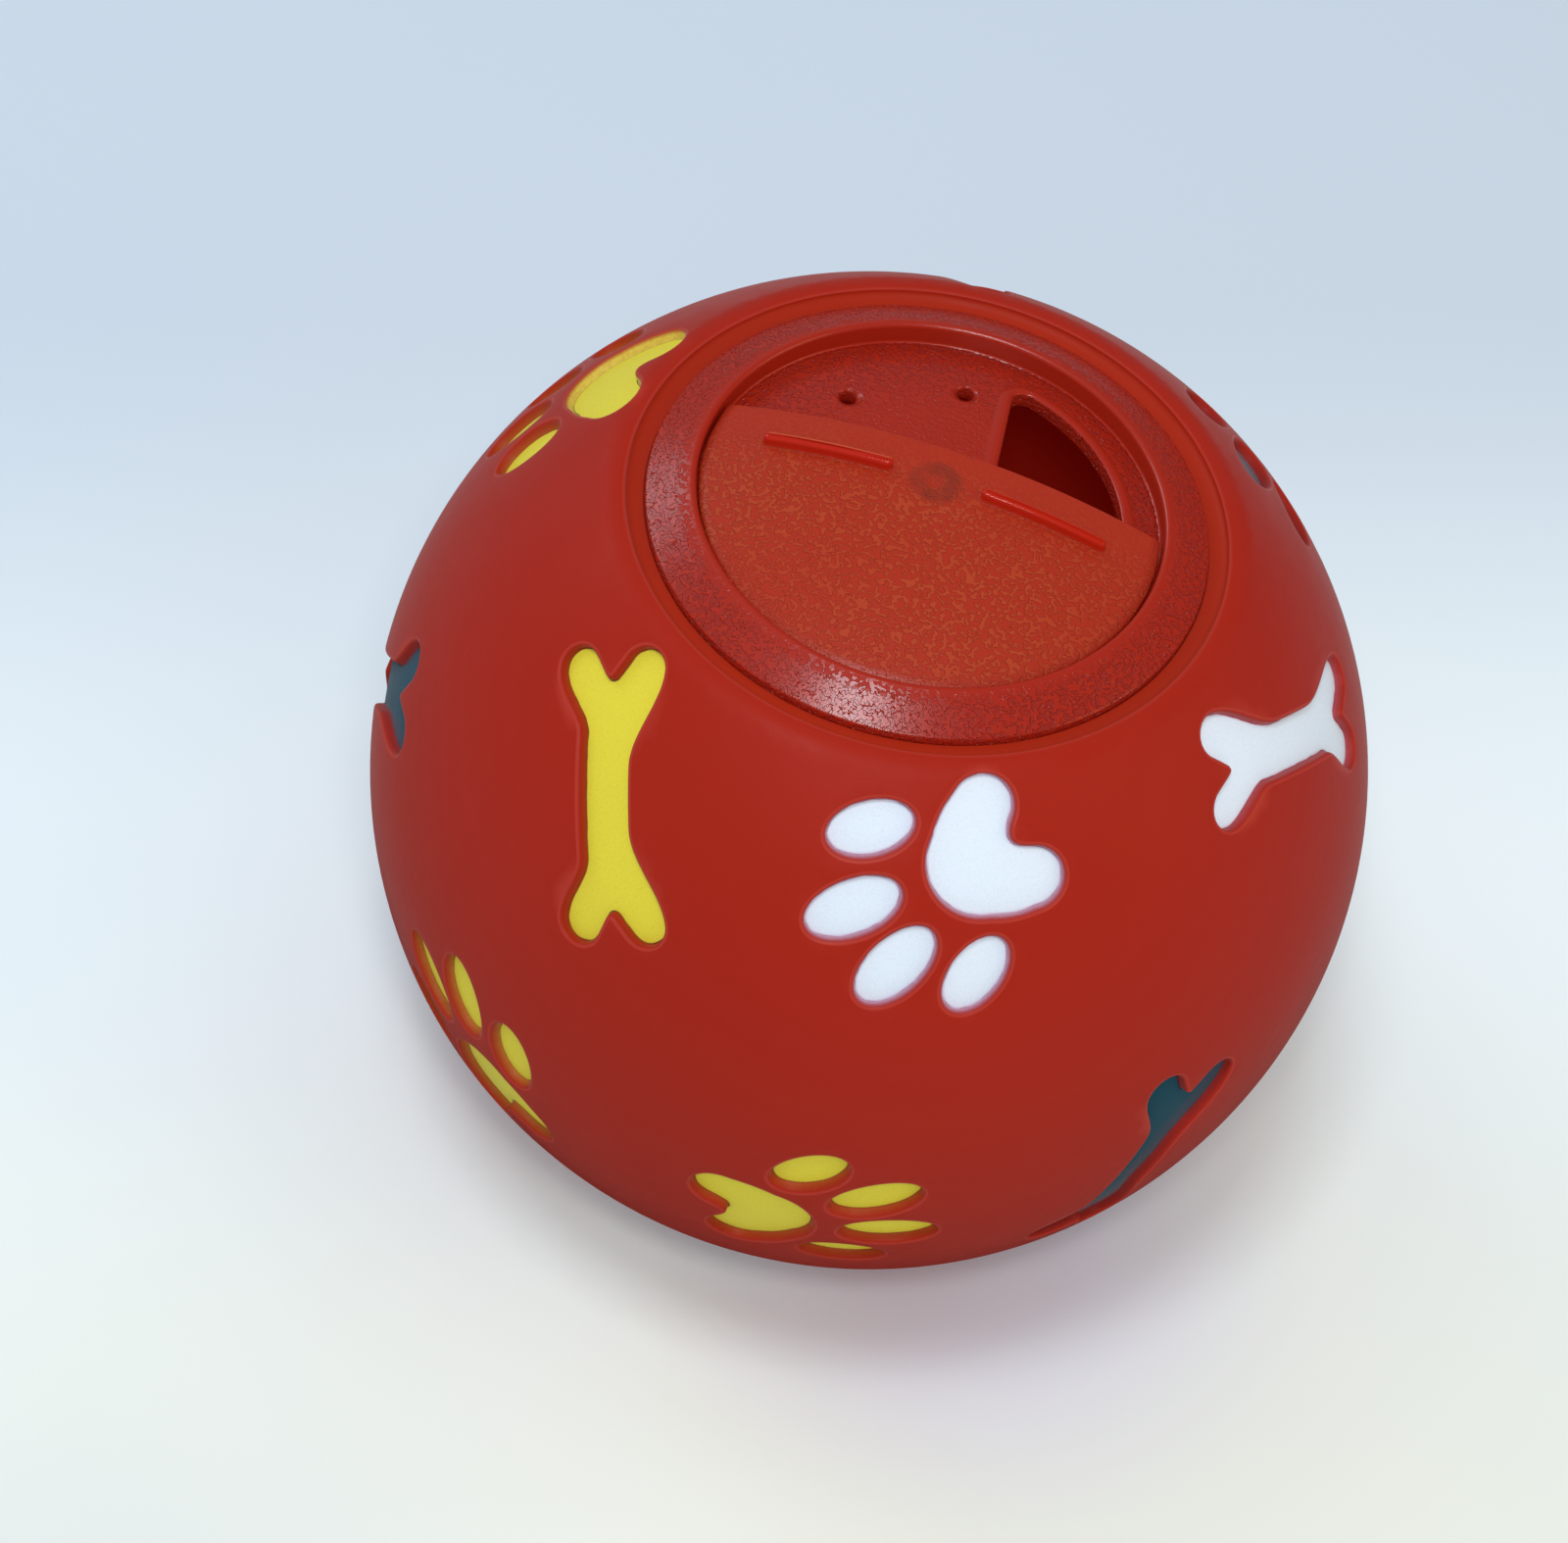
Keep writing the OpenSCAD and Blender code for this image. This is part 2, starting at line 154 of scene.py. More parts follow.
def arc(cx, cy, radius, start, end, count):
    return [(cx + radius * math.cos(math.radians(start + (end - start) * i / count)),
             cy + radius * math.sin(math.radians(start + (end - start) * i / count))) for i in range(count + 1)]


# helpers for materials
def newMaterial(name, look):
    material = bpy.data.materials.new(name)
    material.use_nodes = True
    shader = material.node_tree.nodes["Principled BSDF"]
    shader.inputs["Base Color"].default_value = (*look["colour"], 1)
    shader.inputs["Roughness"].default_value = look["roughness"]
    shader.inputs["Specular IOR Level"].default_value = look["specular"]
    return material, shader


def addNode(material, kind, **values):
    node = material.node_tree.nodes.new(kind)
    for key, value in values.items():
        if hasattr(node, key):
            setattr(node, key, value)
        else:
            node.inputs[key.replace("_", " ")].default_value = value
    return node


def link(material, out, into):
    material.node_tree.links.new(out, into)


def objectCoordinates(material, turn=0.0):
    source = addNode(material, "ShaderNodeTexCoord").outputs["Object"]
    if not turn:
        return source
    mapping = addNode(material, "ShaderNodeMapping", vector_type="TEXTURE")
    mapping.inputs["Rotation"].default_value = (0, 0, math.radians(turn))
    link(material, source, mapping.inputs["Vector"])
    return mapping.outputs["Vector"]


def noise(material, vector, scale, detail=2.0, roughness=0.5, distortion=0.0):
    node = addNode(material, "ShaderNodeTexNoise", Scale=scale, Detail=detail, Roughness=roughness,
                   Distortion=distortion)
    link(material, vector, node.inputs["Vector"])
    return node.outputs["Fac"]


def math2(material, operation, a, b=None, clamp=False):
    node = addNode(material, "ShaderNodeMath", operation=operation, use_clamp=clamp)
    for i, value in enumerate((a, b)):
        if isinstance(value, (int, float)):
            node.inputs[i].default_value = value
        elif value is not None:
            link(material, value, node.inputs[i])
    return node.outputs[0]


def times(material, a, b):
    return math2(material, "MULTIPLY", a, b)


def ramp(material, value, span, out=(0.0, 1.0)):
    # a smooth step from out's first number to its second, over the span
    node = addNode(material, "ShaderNodeMapRange", interpolation_type="SMOOTHSTEP")
    node.inputs["From Min"].default_value, node.inputs["From Max"].default_value = span
    node.inputs["To Min"].default_value, node.inputs["To Max"].default_value = out
    link(material, value, node.inputs["Value"])
    return node.outputs["Result"]


def rampOver(material, value, span, out=(0.0, 1.0)):
    # the same for a value in metres, over a span in millimetres
    return ramp(material, value, (span[0] * mm, span[1] * mm), out)


def mottle(material, place, pattern, span, out=(0.0, 1.0)):
    # noise in soft patches; pattern is its scale, detail, roughness and distortion
    return ramp(material, noise(material, place, *pattern), span, out)


def splitUp(material, vector):
    node = addNode(material, "ShaderNodeSeparateXYZ")
    link(material, vector, node.inputs[0])
    return node.outputs


def distanceFrom(material, place, point=(0.0, 0.0, 0.0)):
    # how far a place is from a point given in millimetres; the answer is in metres
    node = addNode(material, "ShaderNodeVectorMath", operation="DISTANCE")
    link(material, place, node.inputs[0])
    node.inputs[1].default_value = [v * mm for v in point]
    return node.outputs["Value"]


def isGlossy(material):
    return addNode(material, "ShaderNodeLightPath").outputs["Is Glossy Ray"]


def mixColour(material, share, first, second):
    node = addNode(material, "ShaderNodeMix", data_type="RGBA")
    for socket, value in ((node.inputs["Factor"], share), (node.inputs[6], first), (node.inputs[7], second)):
        if isinstance(value, tuple):
            socket.default_value = (*value, 1)
        elif isinstance(value, (int, float)):
            socket.default_value = value
        else:
            link(material, value, socket)
    return node.outputs[2]


def bumpTo(material, shader, height, depth, previous=None):
    node = addNode(material, "ShaderNodeBump", Strength=1.0, Distance=depth * mm)
    link(material, height, node.inputs["Height"])
    if previous is not None:
        link(material, previous, node.inputs["Normal"])
    link(material, node.outputs["Normal"], shader.inputs["Normal"])
    return node.outputs["Normal"]


# camera, floor and light
view = {
    "place": (0.0, -0.33996, 0.42334),
    "right": (0.97288, 0.19062, 0.13105),
    "up": (-0.23072, 0.75883, 0.60905),
    "back": (0.01665, -0.62277, 0.78223),
    "lens": 112.5,
    "sensorWidth": 36.0,
    "clip": (0.01, 20.0),
}
cameraData = bpy.data.cameras.new("camera")
cameraData.lens, cameraData.sensor_width = view["lens"], view["sensorWidth"]
cameraData.clip_start, cameraData.clip_end = view["clip"]
camera = bpy.data.objects.new("camera", cameraData)
scene.collection.objects.link(camera)
columns = [(*view[key], 0.0) for key in ("right", "up", "back")] + [(*view["place"], 1.0)]
camera.matrix_world = Matrix(columns).transposed()
scene.camera = camera
scene.view_settings.view_transform = "Standard"

stage = {
    "floorHeight": -55.0,
    "floorSize": 6000.0,
    "floorTurn": 17.0,  # the floor's painted light and shade run up the picture
    "colour": (0.84, 0.93, 0.96),
    "roughness": 0.9,
    "specular": 0.1,
    # painted shade: the far floor darker and bluer, as the light falls off
    "farColour": (0.62, 0.71, 0.80),
    "farSpan": (30, 125),  # where a shade begins and where it is full
    # painted light: the near floor warmer
    "nearColour": (0.87, 0.93, 0.86),
    "nearSpan": (30, -70),
    # painted shade: darker on the floor at the near left of the ball
    "nearLeftColour": (0.74, 0.80, 0.80),
    "nearLeftSpan": (-10, -90),
    "shadedColour": (0.79, 0.84, 0.95),  # painted shadow: a lavender tone on the floor under the ball
    "shadedPlace": (18, -26, 0),
    "shadedSpan": (45, 8),
    "nearGloss": (0.03, 0.03, 0.035),  # the shaded floor close to the ball, as gloss sees it
    "farGloss": (0.40, 0.43, 0.47),
    "glossSpan": (60, 300),
    "skyColour": (0.88, 0.92, 0.97),
    "skyStrength": 0.585,
    "skyInGloss": (0.26, 0.05),  # at the left and at the right
    "skySpan": (-0.5, 0.45),
}
# name, place, width and height, power, colour
lamps = [
    ("flash", (8, -316, 443), (60, 40), 0.56, (1.0, 0.95, 0.88)),
    ("ceilingLight", (-120, -370, 1120), (230, 230), 4.3, (0.86, 0.93, 1.0)),
    ("windowLight", (-950, 480, 600), (600, 450), 2.8, (0.82, 0.91, 1.0)),
    ("warmLight", (950, -150, 520), (600, 500), 1.8, (1.0, 0.70, 0.40)),
]
bpy.ops.object.select_all(action="DESELECT")
bpy.ops.mesh.primitive_plane_add(size=stage["floorSize"] * mm, location=(0, 0, stage["floorHeight"] * mm))
floor = bpy.context.object
floor.name = "floor"

paper, paperShader = newMaterial("palePaper", stage)
floor.data.materials.append(paper)
floorPlace = objectCoordinates(paper, stage["floorTurn"])
floorX, floorY, _ = splitUp(paper, floorPlace)
far = rampOver(paper, floorY, stage["farSpan"])
near = rampOver(paper, floorY, stage["nearSpan"])
nearLeft = times(paper, *(rampOver(paper, way, stage["nearLeftSpan"]) for way in (floorX, floorY)))
shaded = rampOver(paper, distanceFrom(paper, floorPlace, stage["shadedPlace"]), stage["shadedSpan"])
floorShade = stage["colour"]
for share, place in ((far, "far"), (near, "near"), (nearLeft, "nearLeft"), (shaded, "shaded")):
    floorShade = mixColour(paper, share, floorShade, stage[place + "Colour"])
# what reflections see of the floor: a painted shadow near the ball, and a dimmer floor further off
reach = rampOver(paper, distanceFrom(paper, floorPlace), stage["glossSpan"])
floorGloss = mixColour(paper, reach, stage["nearGloss"], stage["farGloss"])
link(paper, mixColour(paper, isGlossy(paper), floorShade, floorGloss), paperShader.inputs["Base Color"])

world = bpy.data.worlds.new("studio")
scene.world = world
world.use_nodes = True
sky = world.node_tree.nodes["Background"]
sky.inputs["Color"].default_value = (*stage["skyColour"], 1)
skyX, _, _ = splitUp(world, addNode(world, "ShaderNodeTexCoord").outputs["Generated"])
skyMix = addNode(world, "ShaderNodeMix", data_type="FLOAT")
link(world, isGlossy(world), skyMix.inputs[0])
skyMix.inputs[2].default_value = stage["skyStrength"]
link(world, ramp(world, skyX, stage["skySpan"], stage["skyInGloss"]), skyMix.inputs[3])
link(world, skyMix.outputs[0], sky.inputs["Strength"])

for name, place, size, power, colour in lamps:
    data = bpy.data.lights.new(name, "AREA")
    data.shape = "RECTANGLE"
    data.size, data.size_y = size[0] * mm, size[1] * mm
    data.energy, data.color = power, colour
    lamp = bpy.data.objects.new(name, data)
    scene.collection.objects.link(lamp)
    lamp.location = Vector(place) * mm
    lamp.rotation_mode = "QUATERNION"
    lamp.rotation_quaternion = (-Vector(place)).to_track_quat("-Z", "Y")  # all of them face the ball's centre
print("stage: camera, floor and lights are in place")


# outlines of the paws and the bones
paw = {
    "padRadius": 5.7, "padBack": 6.1, "lobeRadius": 3.1, "lobeSide": 4.55, "lobeBack": 9.2, "notch": 9.4,
    "lobeStart": -150.0, "swell": 0.3,
    "innerToe": (3.75, 7.2, 5.0, 2.8, 12.0),  # side, ahead, half length, half width, lean
    "outerToe": (9.4, 1.15, 4.4, 2.65, 21.0),
}
bone = {
    "knobAhead": 12.85, "knobSide": 3.8, "knobRadius": 2.15, "shaftHalf": 2.65, "flareAhead": (3.2, 6.3),
    "notchCentre": 12.4, "notchRadius": 0.7, "notchLeast": 0.05, "notchStart": 35.0, "knobEnd": 150.0,
}

# name, shape, colour, angle down from the mouth's axis, angle round it, turn in the surface
motifs = [
    ("yellow_bone_front", "bone", "yellow", 54.7, -124.7, 36.7),
    ("white_paw_front", "paw", "white", 51.1, -77.3, 129.7),
    ("white_bone_right", "bone", "white", 53.2, -12.1, 60.2),
    ("teal_paw_back_right", "paw", "teal", 55.1, 41.3, 53.7),
    ("teal_bone_back", "bone", "teal", 53.0, 99.1, 45.0),
    ("yellow_paw_back_left", "paw", "yellow", 51.0, 160.3, -178.1),
    ("teal_bone_side_left", "bone", "teal", 83.7, -171.2, -44.7),
    ("yellow_paw_side_front_left", "paw", "yellow", 100.6, -130.5, 34.5),
    ("yellow_paw_side_front", "paw", "yellow", 99.1, -84.3, -72.6),
    ("teal_bone_side_front_right", "bone", "teal", 96.7, -45.8, -18.2),
    ("white_paw_side_right", "paw", "white", 100.0, 1.0, 40.0),
    ("yellow_bone_side_back_right", "bone", "yellow", 99.0, 48.0, -30.0),
    ("white_bone_side_back", "bone", "white", 98.0, 95.0, 50.0),
    ("teal_paw_side_back_left", "paw", "teal", 100.0, 142.0, -60.0),
    ("white_bone_under_front", "bone", "white", 146.0, -105.0, 60.0),
    ("teal_paw_under_right", "paw", "teal", 146.0, -15.0, 140.0),
    ("yellow_bone_under_back", "bone", "yellow", 146.0, 75.0, 30.0),
    ("white_paw_under_left", "paw", "white", 146.0, 165.0, -45.0),
]


def padOutline(grow):
    top, lobe = (0.0, -paw["padBack"]), (paw["lobeSide"], -paw["lobeBack"])
    dx, dy = lobe[0] - top[0], lobe[1] - top[1]
    touch = math.atan2(dy, dx) + math.acos((paw["padRadius"] - paw["lobeRadius"]) / math.hypot(dx, dy))
    outX, outY, touch = math.cos(touch), math.sin(touch), math.degrees(touch)
    right = arc(*lobe, paw["lobeRadius"] + grow, paw["lobeStart"], touch, 24)
    over = arc(*top, paw["padRadius"] + grow, touch, 180 - touch, 30)
    shares = [i / 8 for i in range(1, 8)]
    for t, (x, y) in zip(shares, between(right[-1], over[0], 8)):
        swell = paw["swell"] * 4 * t * (1 - t)  # the side swells a little between the lobe and the round top
        right.append((x + swell * outX, y + swell * outY))
    left = [(-x, y) for x, y in reversed(right)]
    endX, endY = right[0]
    pull = 2 * (-paw["notch"] - grow) - endY
    notch = [(endX * (2 * t - 1), endY * (t * t + (1 - t) ** 2) + pull * 2 * t * (1 - t)) for t in shares]
    return right + over + left + notch


def toeOutline(toe, side, grow):
    across, ahead, halfLong, halfWide, lean = toe
    c, s = math.cos(math.radians(-side * lean)), math.sin(math.radians(-side * lean))
    points = []
    for i in range(60):
        t = math.tau * i / 60
        x, y = (halfWide + grow) * math.cos(t), (halfLong + grow) * math.sin(t)
        points.append((side * across + x * c - y * s, ahead + x * s + y * c))
    return points


def boneQuarter(grow, flare):
    b = bone
    flank = []
    for i in range(12):
        s = i / 12
        ease = s * s * (3 - 2 * s)
        flank.append((b["shaftHalf"] + grow + (b["knobSide"] + b["knobRadius"] - b["shaftHalf"]) * ease,
                      flare + (b["knobAhead"] - flare) * s))
    knob = arc(b["knobSide"], b["knobAhead"], b["knobRadius"] + grow, 0, b["knobEnd"], 24)
    # as the outline grows, the notch between the knobs gets smaller and then moves out
    notchUp = max(grow - b["notchRadius"] + b["notchLeast"], 0.0) * 1.1
    notch = arc(0, b["notchCentre"] + notchUp, max(b["notchRadius"] - grow, b["notchLeast"]), -b["notchStart"], -90, 6)
    return [(b["shaftHalf"] + grow, 0.0)] + flank + knob + notch


def boneOutline(grow):
    # one side of the shaft swells early, the other has a corner at the knobs
    right, left = (boneQuarter(grow, flare) for flare in bone["flareAhead"])
    half = right + [(-x, y) for x, y in reversed(left[:-1])]
    return half + [(x, -y) for x, y in reversed(half[1:-1])]


def outlinesOf(shape, grow):
    if shape == "bone":
        return [boneOutline(grow)]
    toes = [toeOutline(paw[kind], side, grow) for kind in ("innerToe", "outerToe") for side in (-1, 1)]
    return [padOutline(grow)] + toes


def spaced(outline, spacing):
    # the same closed outline, with corners about one spacing apart
    points = np.array(outline)
    steps = np.roll(points, -1, 0) - points
    lengths = np.hypot(steps[:, 0], steps[:, 1])
    reach = np.concatenate([[0], np.cumsum(lengths)])
    count = max(12, int(round(reach[-1] / spacing)))
    want = np.arange(count) * reach[-1] / count
    closed = np.vstack([points, points[:1]])
    return np.column_stack([np.interp(want, reach, closed[:, 0]), np.interp(want, reach, closed[:, 1])])


def signedDistance(points, outline):
    # distance in mm from each point to the outline, negative inside it
    a = np.array(outline)
    b = np.roll(a, -1, 0)
    ab = b - a
    ap = points[:, None, :] - a[None]
    t = np.clip((ap * ab).sum(2) / np.maximum((ab * ab).sum(1), 1e-12), 0, 1)
    near = np.sqrt(((ap - t[..., None] * ab) ** 2).sum(2)).min(1)
    x, y = points[:, :1], points[:, 1:]
    crosses = (a[None, :, 1] > y) != (b[None, :, 1] > y)
    with np.errstate(divide="ignore", invalid="ignore"):
        rise = np.where(ab[None, :, 1] == 0, 1e-12, ab[None, :, 1])
        where = a[None, :, 0] + (y - a[None, :, 1]) * ab[None, :, 0] / rise
    inside = (crosses & (x < where)).sum(1) % 2 == 1
    return np.where(inside, -near, near)


def axesOf(theta, phi, roll):
    theta, phi, roll = (math.radians(v) for v in (theta, phi, roll))
    outward = np.array([math.sin(theta) * math.cos(phi), math.sin(theta) * math.sin(phi), math.cos(theta)])
    east = np.array([-math.sin(phi), math.cos(phi), 0.0])
    north = np.cross(outward, east)
    c, s = math.cos(roll), math.sin(roll)
    return outward, c * east + s * north, -s * east + c * north


def onSphere(flat, axes, radius):
    # points of a motif's own plane, lifted along its axis to a sphere
    outward, across, ahead = axes
    up = np.sqrt(radius ** 2 - (flat ** 2).sum(1))
    return flat[:, :1] * across + flat[:, 1:] * ahead + up[:, None] * outward


def loopEdges(start, count):
    return [(start + i, start + (i + 1) % count) for i in range(count)]


def newPiece(name, points, faces):
    mesh = bpy.data.meshes.new(name)
    mesh.from_pydata((points * mm).tolist(), [], faces)
    piece = bpy.data.objects.new(name, mesh)
    scene.collection.objects.link(piece)
    return piece, mesh


def addValues(mesh, name, values):
    # one number, or one colour and its share, for each corner of the mesh
    values = np.array(values, np.float32)
    kind, key = ("FLOAT", "value") if values.ndim == 1 else ("FLOAT_COLOR", "color")
    mesh.attributes.new(name, kind, "POINT").data.foreach_set(key, values.ravel())


# ball shell
ball = {
    "radius": 55.0,
    "cavityRadius": 51.8,
    "recessDepth": 1.3,
    "rimSteps": 192,
    "blendCentre": (32.495, 41.235),  # radius and height of the rolled edge's centre
    "blendRadius": 2.5,
    "creaseRadius": 31.695,
    "creaseRound": 0.14,
    # painted highlight: how much of the lighter line runs along the crease
    "creaseHighlight": 0.5,
    # radius and height down the channel beside the plug's flange, over its seat and round the collar
    "channel": [(31.68, 43.52), (31.58, 43.3), (31.36, 43.08), (31.02, 42.9), (30.6, 42.8), (30.15, 42.76),
                (29.78, 42.74), (29.72, 42.55), (29.62, 42.435), (27.7, 42.435), (27.5, 42.235), (27.5, 38.235),
                (30.9, 38.235)],
    "seamDistance": 0.002,
    "smoothAngle": 50,
    # painted highlight along the rolled rim of a recess: distances from the floor's outline, and how much of the
    # lighter highlight colour is there
    "edgeHighlight": ([0.3, 0.43, 0.5, 0.58, 0.75], [0.0, 0.55, 1.0, 0.9, 0.0]),
    # overspray: where its colour ends, the depth where it starts, how it grows, its usual share by pad and toes
    "mistReach": 2.5,
    "mistFrom": 0.08,
    "mistPower": 1.2,
    "mistUsual": (0.3, 0.3),
    # corners of the skin: spacing in mm, and mm2 for each loose one between the outlines
    "floorSpacing": 0.4,
    "ringSpacing": 0.55,
    "looseArea": 1.40625,
    "looseGap": (-0.85, 1.4),  # none lies so near to a floor's outline
    "looseFromRim": 1.6,
    "rimLoop": 0.3,
    "ringFromRim": 0.35,
    "landShare": 0.8,  # how far over the land a recess may reach
    "motifHeight": 48.0,  # a motif lies higher than this along its own axis
    # how far outside the floor's outline, and how deep, down the rolled wall of a recess
    "wallSection": [(0.75, 0.0), (0.58, 0.025), (0.43, 0.08), (0.3, 0.17), (0.21, 0.31), (0.15, 0.5), (0.11, 0.74),
                    (0.05, 0.98), (-0.04, 1.17), (-0.17, 1.27), (-0.4, 1.3)],
}
ballRadius, blendRadius = ball["radius"], ball["blendRadius"]
blendR, blendZ = ball["blendCentre"]
blendEnd = math.atan2(blendR, blendZ)  # where the rolled edge meets the sphere
landWidth = blendR - ball["creaseRadius"] - ball["creaseRound"]
landHeight = blendZ + blendRadius
skinEnd = blendEnd - (blendRadius * blendEnd + landWidth) / ballRadius


def skinPoint(theta, phi):
    # the ball's outside without its recesses: the sphere, then the rolled edge and the land down to the crease
    along = (blendEnd - theta) * ballRadius
    lean = np.clip(blendEnd - along / blendRadius, 0, None)
    rolled = blendRadius * blendEnd
    rimR = blendR + blendRadius * np.sin(lean) - np.clip(along - rolled, 0, None)
    rimZ = blendZ + blendRadius * np.cos(lean)
    onRim = along > 0
    r = np.where(onRim, rimR, ballRadius * np.sin(theta))
    z = np.where(onRim, rimZ, ballRadius * np.cos(theta))
    return np.column_stack([r * np.cos(phi), r * np.sin(phi), z])


def skinAngle(points):
    # the angle that skinPoint needs to reach the radius of a point on the sphere
    theta = np.arccos(np.clip(points[:, 2] / ballRadius, -1, 1))
    r = np.hypot(points[:, 0], points[:, 1])
    lean = np.arcsin(np.clip((r - blendR) / blendRadius, 0, 1))
    along = blendRadius * (blendEnd - lean)
    along += np.clip(blendR - r, 0, landWidth * ball["landShare"])
    return np.where(theta < blendEnd, blendEnd - along / ballRadius, theta)


def toMap(theta, phi):
    # the skin laid out flat, with the bottom of the ball in the middle
    q = np.tan((math.pi - theta) / 2)
    return np.column_stack([q * np.cos(phi), q * np.sin(phi)])


motifAxes = {name: axesOf(theta, phi, roll) for name, _, _, theta, phi, roll in motifs}
floorOutlines = {shape: [spaced(o, ball["floorSpacing"]) for o in outlinesOf(shape, 0.0)] for shape in ("paw", "bone")}
wallGrow, wallDeep = np.array(ball["wallSection"][::-1]).T


def recessDepth(flat, shape):
    # depth of the skin at points of a motif's own plane, and their distance from the nearest floor outline
    left, nearest = np.ones(len(flat)), np.full(len(flat), np.inf)
    for outline in floorOutlines[shape]:
        distance = signedDistance(flat, outline)
        left *= 1 - np.interp(distance, wallGrow, wallDeep) / ball["recessDepth"]
        nearest = np.minimum(nearest, distance)
    return (1 - left) * ball["recessDepth"], nearest


def aroundMotif(points, name):
    # which of the points lie near a motif, and where they are in its own plane
    outward, across, ahead = motifAxes[name]
    near = np.where(points @ outward > ball["motifHeight"])[0]
    return near, np.column_stack([points[near] @ across, points[near] @ ahead])


def mapLoops():
    # closed lines that the skin's faces keep to: near the crease, and down each recess wall
    mapped, edges = [], []

    def addLoop(theta, phi):
        edges.extend(loopEdges(len(mapped), len(phi)))
        mapped.extend(toMap(theta, phi).tolist())

    turn = np.arange(ball["rimSteps"]) * math.tau / ball["rimSteps"]
    for inward in (0.0, ball["rimLoop"], landWidth):
        addLoop(np.full(len(turn), skinEnd + inward / ballRadius), turn)
    for name, shape, *_ in motifs:
        for grow, _ in ball["wallSection"]:
            for outline in outlinesOf(shape, grow):
                points = onSphere(spaced(outline, ball["ringSpacing"]), motifAxes[name], ballRadius)
                theta = np.maximum(skinAngle(points), skinEnd + ball["ringFromRim"] / ballRadius)
                addLoop(theta, np.arctan2(points[:, 1], points[:, 0]))
    return mapped, edges


def loosePoints():
    # points spread evenly over the sphere, without those too near to the rim or to an outline
    count = int(4 * math.pi * ballRadius ** 2 / ball["looseArea"])
    i = np.arange(count) + 0.5
    theta, phi = np.arccos(1 - 2 * i / count), (i * math.pi * (1 + 5 ** 0.5)) % math.tau
    keep = theta > skinEnd + ball["looseFromRim"] / ballRadius
    points = skinPoint(theta, phi)
    low, high = ball["looseGap"]
    for name, shape, *_ in motifs:
        near, flat = aroundMotif(points, name)
        _, distance = recessDepth(flat, shape)
        keep[near[(distance > low) & (distance < high)]] = False
    return toMap(theta[keep], phi[keep]).tolist()


def makeSkin():
    mapped, edges = mapLoops()
    corners, _, faces, *_ = delaunay_2d_cdt([Vector(p) for p in mapped + loosePoints()], edges, [], 0, 1e-9)
    q = np.array([tuple(c) for c in corners])
    theta, phi = math.pi - 2 * np.arctan(np.hypot(q[:, 0], q[:, 1])), np.arctan2(q[:, 1], q[:, 0])
    points = skinPoint(theta, phi)
    mist = np.zeros((len(points), 4))
    # painted highlight: the edge values give a lighter line along the crease and round the rim of each recess
    edge = np.where(theta < skinEnd + ball["rimLoop"] / 2 / ballRadius, ball["creaseHighlight"], 0.0)
    for name, shape, colour, *_ in motifs:
        near, flat = aroundMotif(points, name)
        depth, distance = recessDepth(flat, shape)
        mist[near[distance < ball["mistReach"]], :3] = mistColours[colour]
        edge[near] = np.maximum(edge[near], np.interp(distance, *ball["edgeHighlight"]))
        sunk = depth > 0
        near, flat, depth = near[sunk], flat[sunk], depth[sunk]
        base = ballRadius - np.linalg.norm(points[near], axis=1)  # how far the rim is already below the sphere
        points[near] = onSphere(flat, motifAxes[name], ballRadius - np.maximum(depth, base))
        byPad = signedDistance(flat, floorOutlines[shape][0]) < distance[sunk] + 1e-6
        share = np.where(byPad, *mistShares.get(name, ball["mistUsual"]))
        mist[near, 3] = np.minimum(share * np.clip(depth - ball["mistFrom"], 0, 1) ** ball["mistPower"], 1.0)
    piece, skin = newPiece("ball", points, faces)
    addValues(skin, "spray", mist)
    addValues(skin, "edge", edge)
    return piece


def makeLining():
    # the crease, the channel, the collar, and the inside of the ball down to its lowest point
    b = ball
    section = arc(b["creaseRadius"] + b["creaseRound"], landHeight - b["creaseRound"], b["creaseRound"], 90, 180, 4)
    section += b["channel"]
    section += arc(0, 0, b["cavityRadius"], math.degrees(math.acos(section[-1][0] / b["cavityRadius"])), -90, 41)
    section[-1] = (0.0, -b["cavityRadius"])
    piece = spinSection("lining", section, b["rimSteps"], closed=False)
    # painted highlight along the top of the crease's rounding, from this height up
    highlightFrom = (landHeight - b["creaseRound"] * 0.8) * mm
    addValues(piece.data, "spray", np.zeros((len(piece.data.vertices), 4)))
    addValues(piece.data, "edge", [b["creaseHighlight"] if v.co.z > highlightFrom else 0.0 for v in piece.data.vertices])
    return piece


mistColours = {  # linear red, green and blue of the thin overspray on a recess wall
    "yellow": (0.68, 0.52, 0.08),
    "white": (0.60, 0.44, 0.60),
    "teal": (0.006, 0.035, 0.06),
}
mistShares = {  # how much of it there is at the foot of the wall, by the pad or bone and by the toes
    "white_paw_front": (0.8, 0.8),
    "white_bone_right": (0.16, 0.16),
    "yellow_bone_front": (0.06, 0.06),
    "yellow_paw_back_left": (3.0, 0.15),
    "yellow_paw_side_front": (0.12, 0.12),
}

ballShell = joinAll([makeSkin(), makeLining()], "ball_shell_dressed")
mergeAndTurnOut(ballShell, ball["seamDistance"])
smooth(ballShell, ball["smoothAngle"])
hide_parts("ball_shell")
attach(ballShell, "ball")
print("ball shell:", len(ballShell.data.polygons), "faces")


# paint in the recesses
paint = {
    "thickness": 0.2,
    "gap": 0.06,
    "ragged": 0.05,  # how far the sprayed edge wanders, and the most that it may
    "raggedLimits": (-0.12, 0.05),
    "spacing": 0.4,
    "rings": (0.25, 0.65),
    "gridSpacing": 1.1,
    "gridInside": 1.0,
    "floorRadius": 53.7,
    "smoothAngle": 40,
    "firstSeed": 40,
}


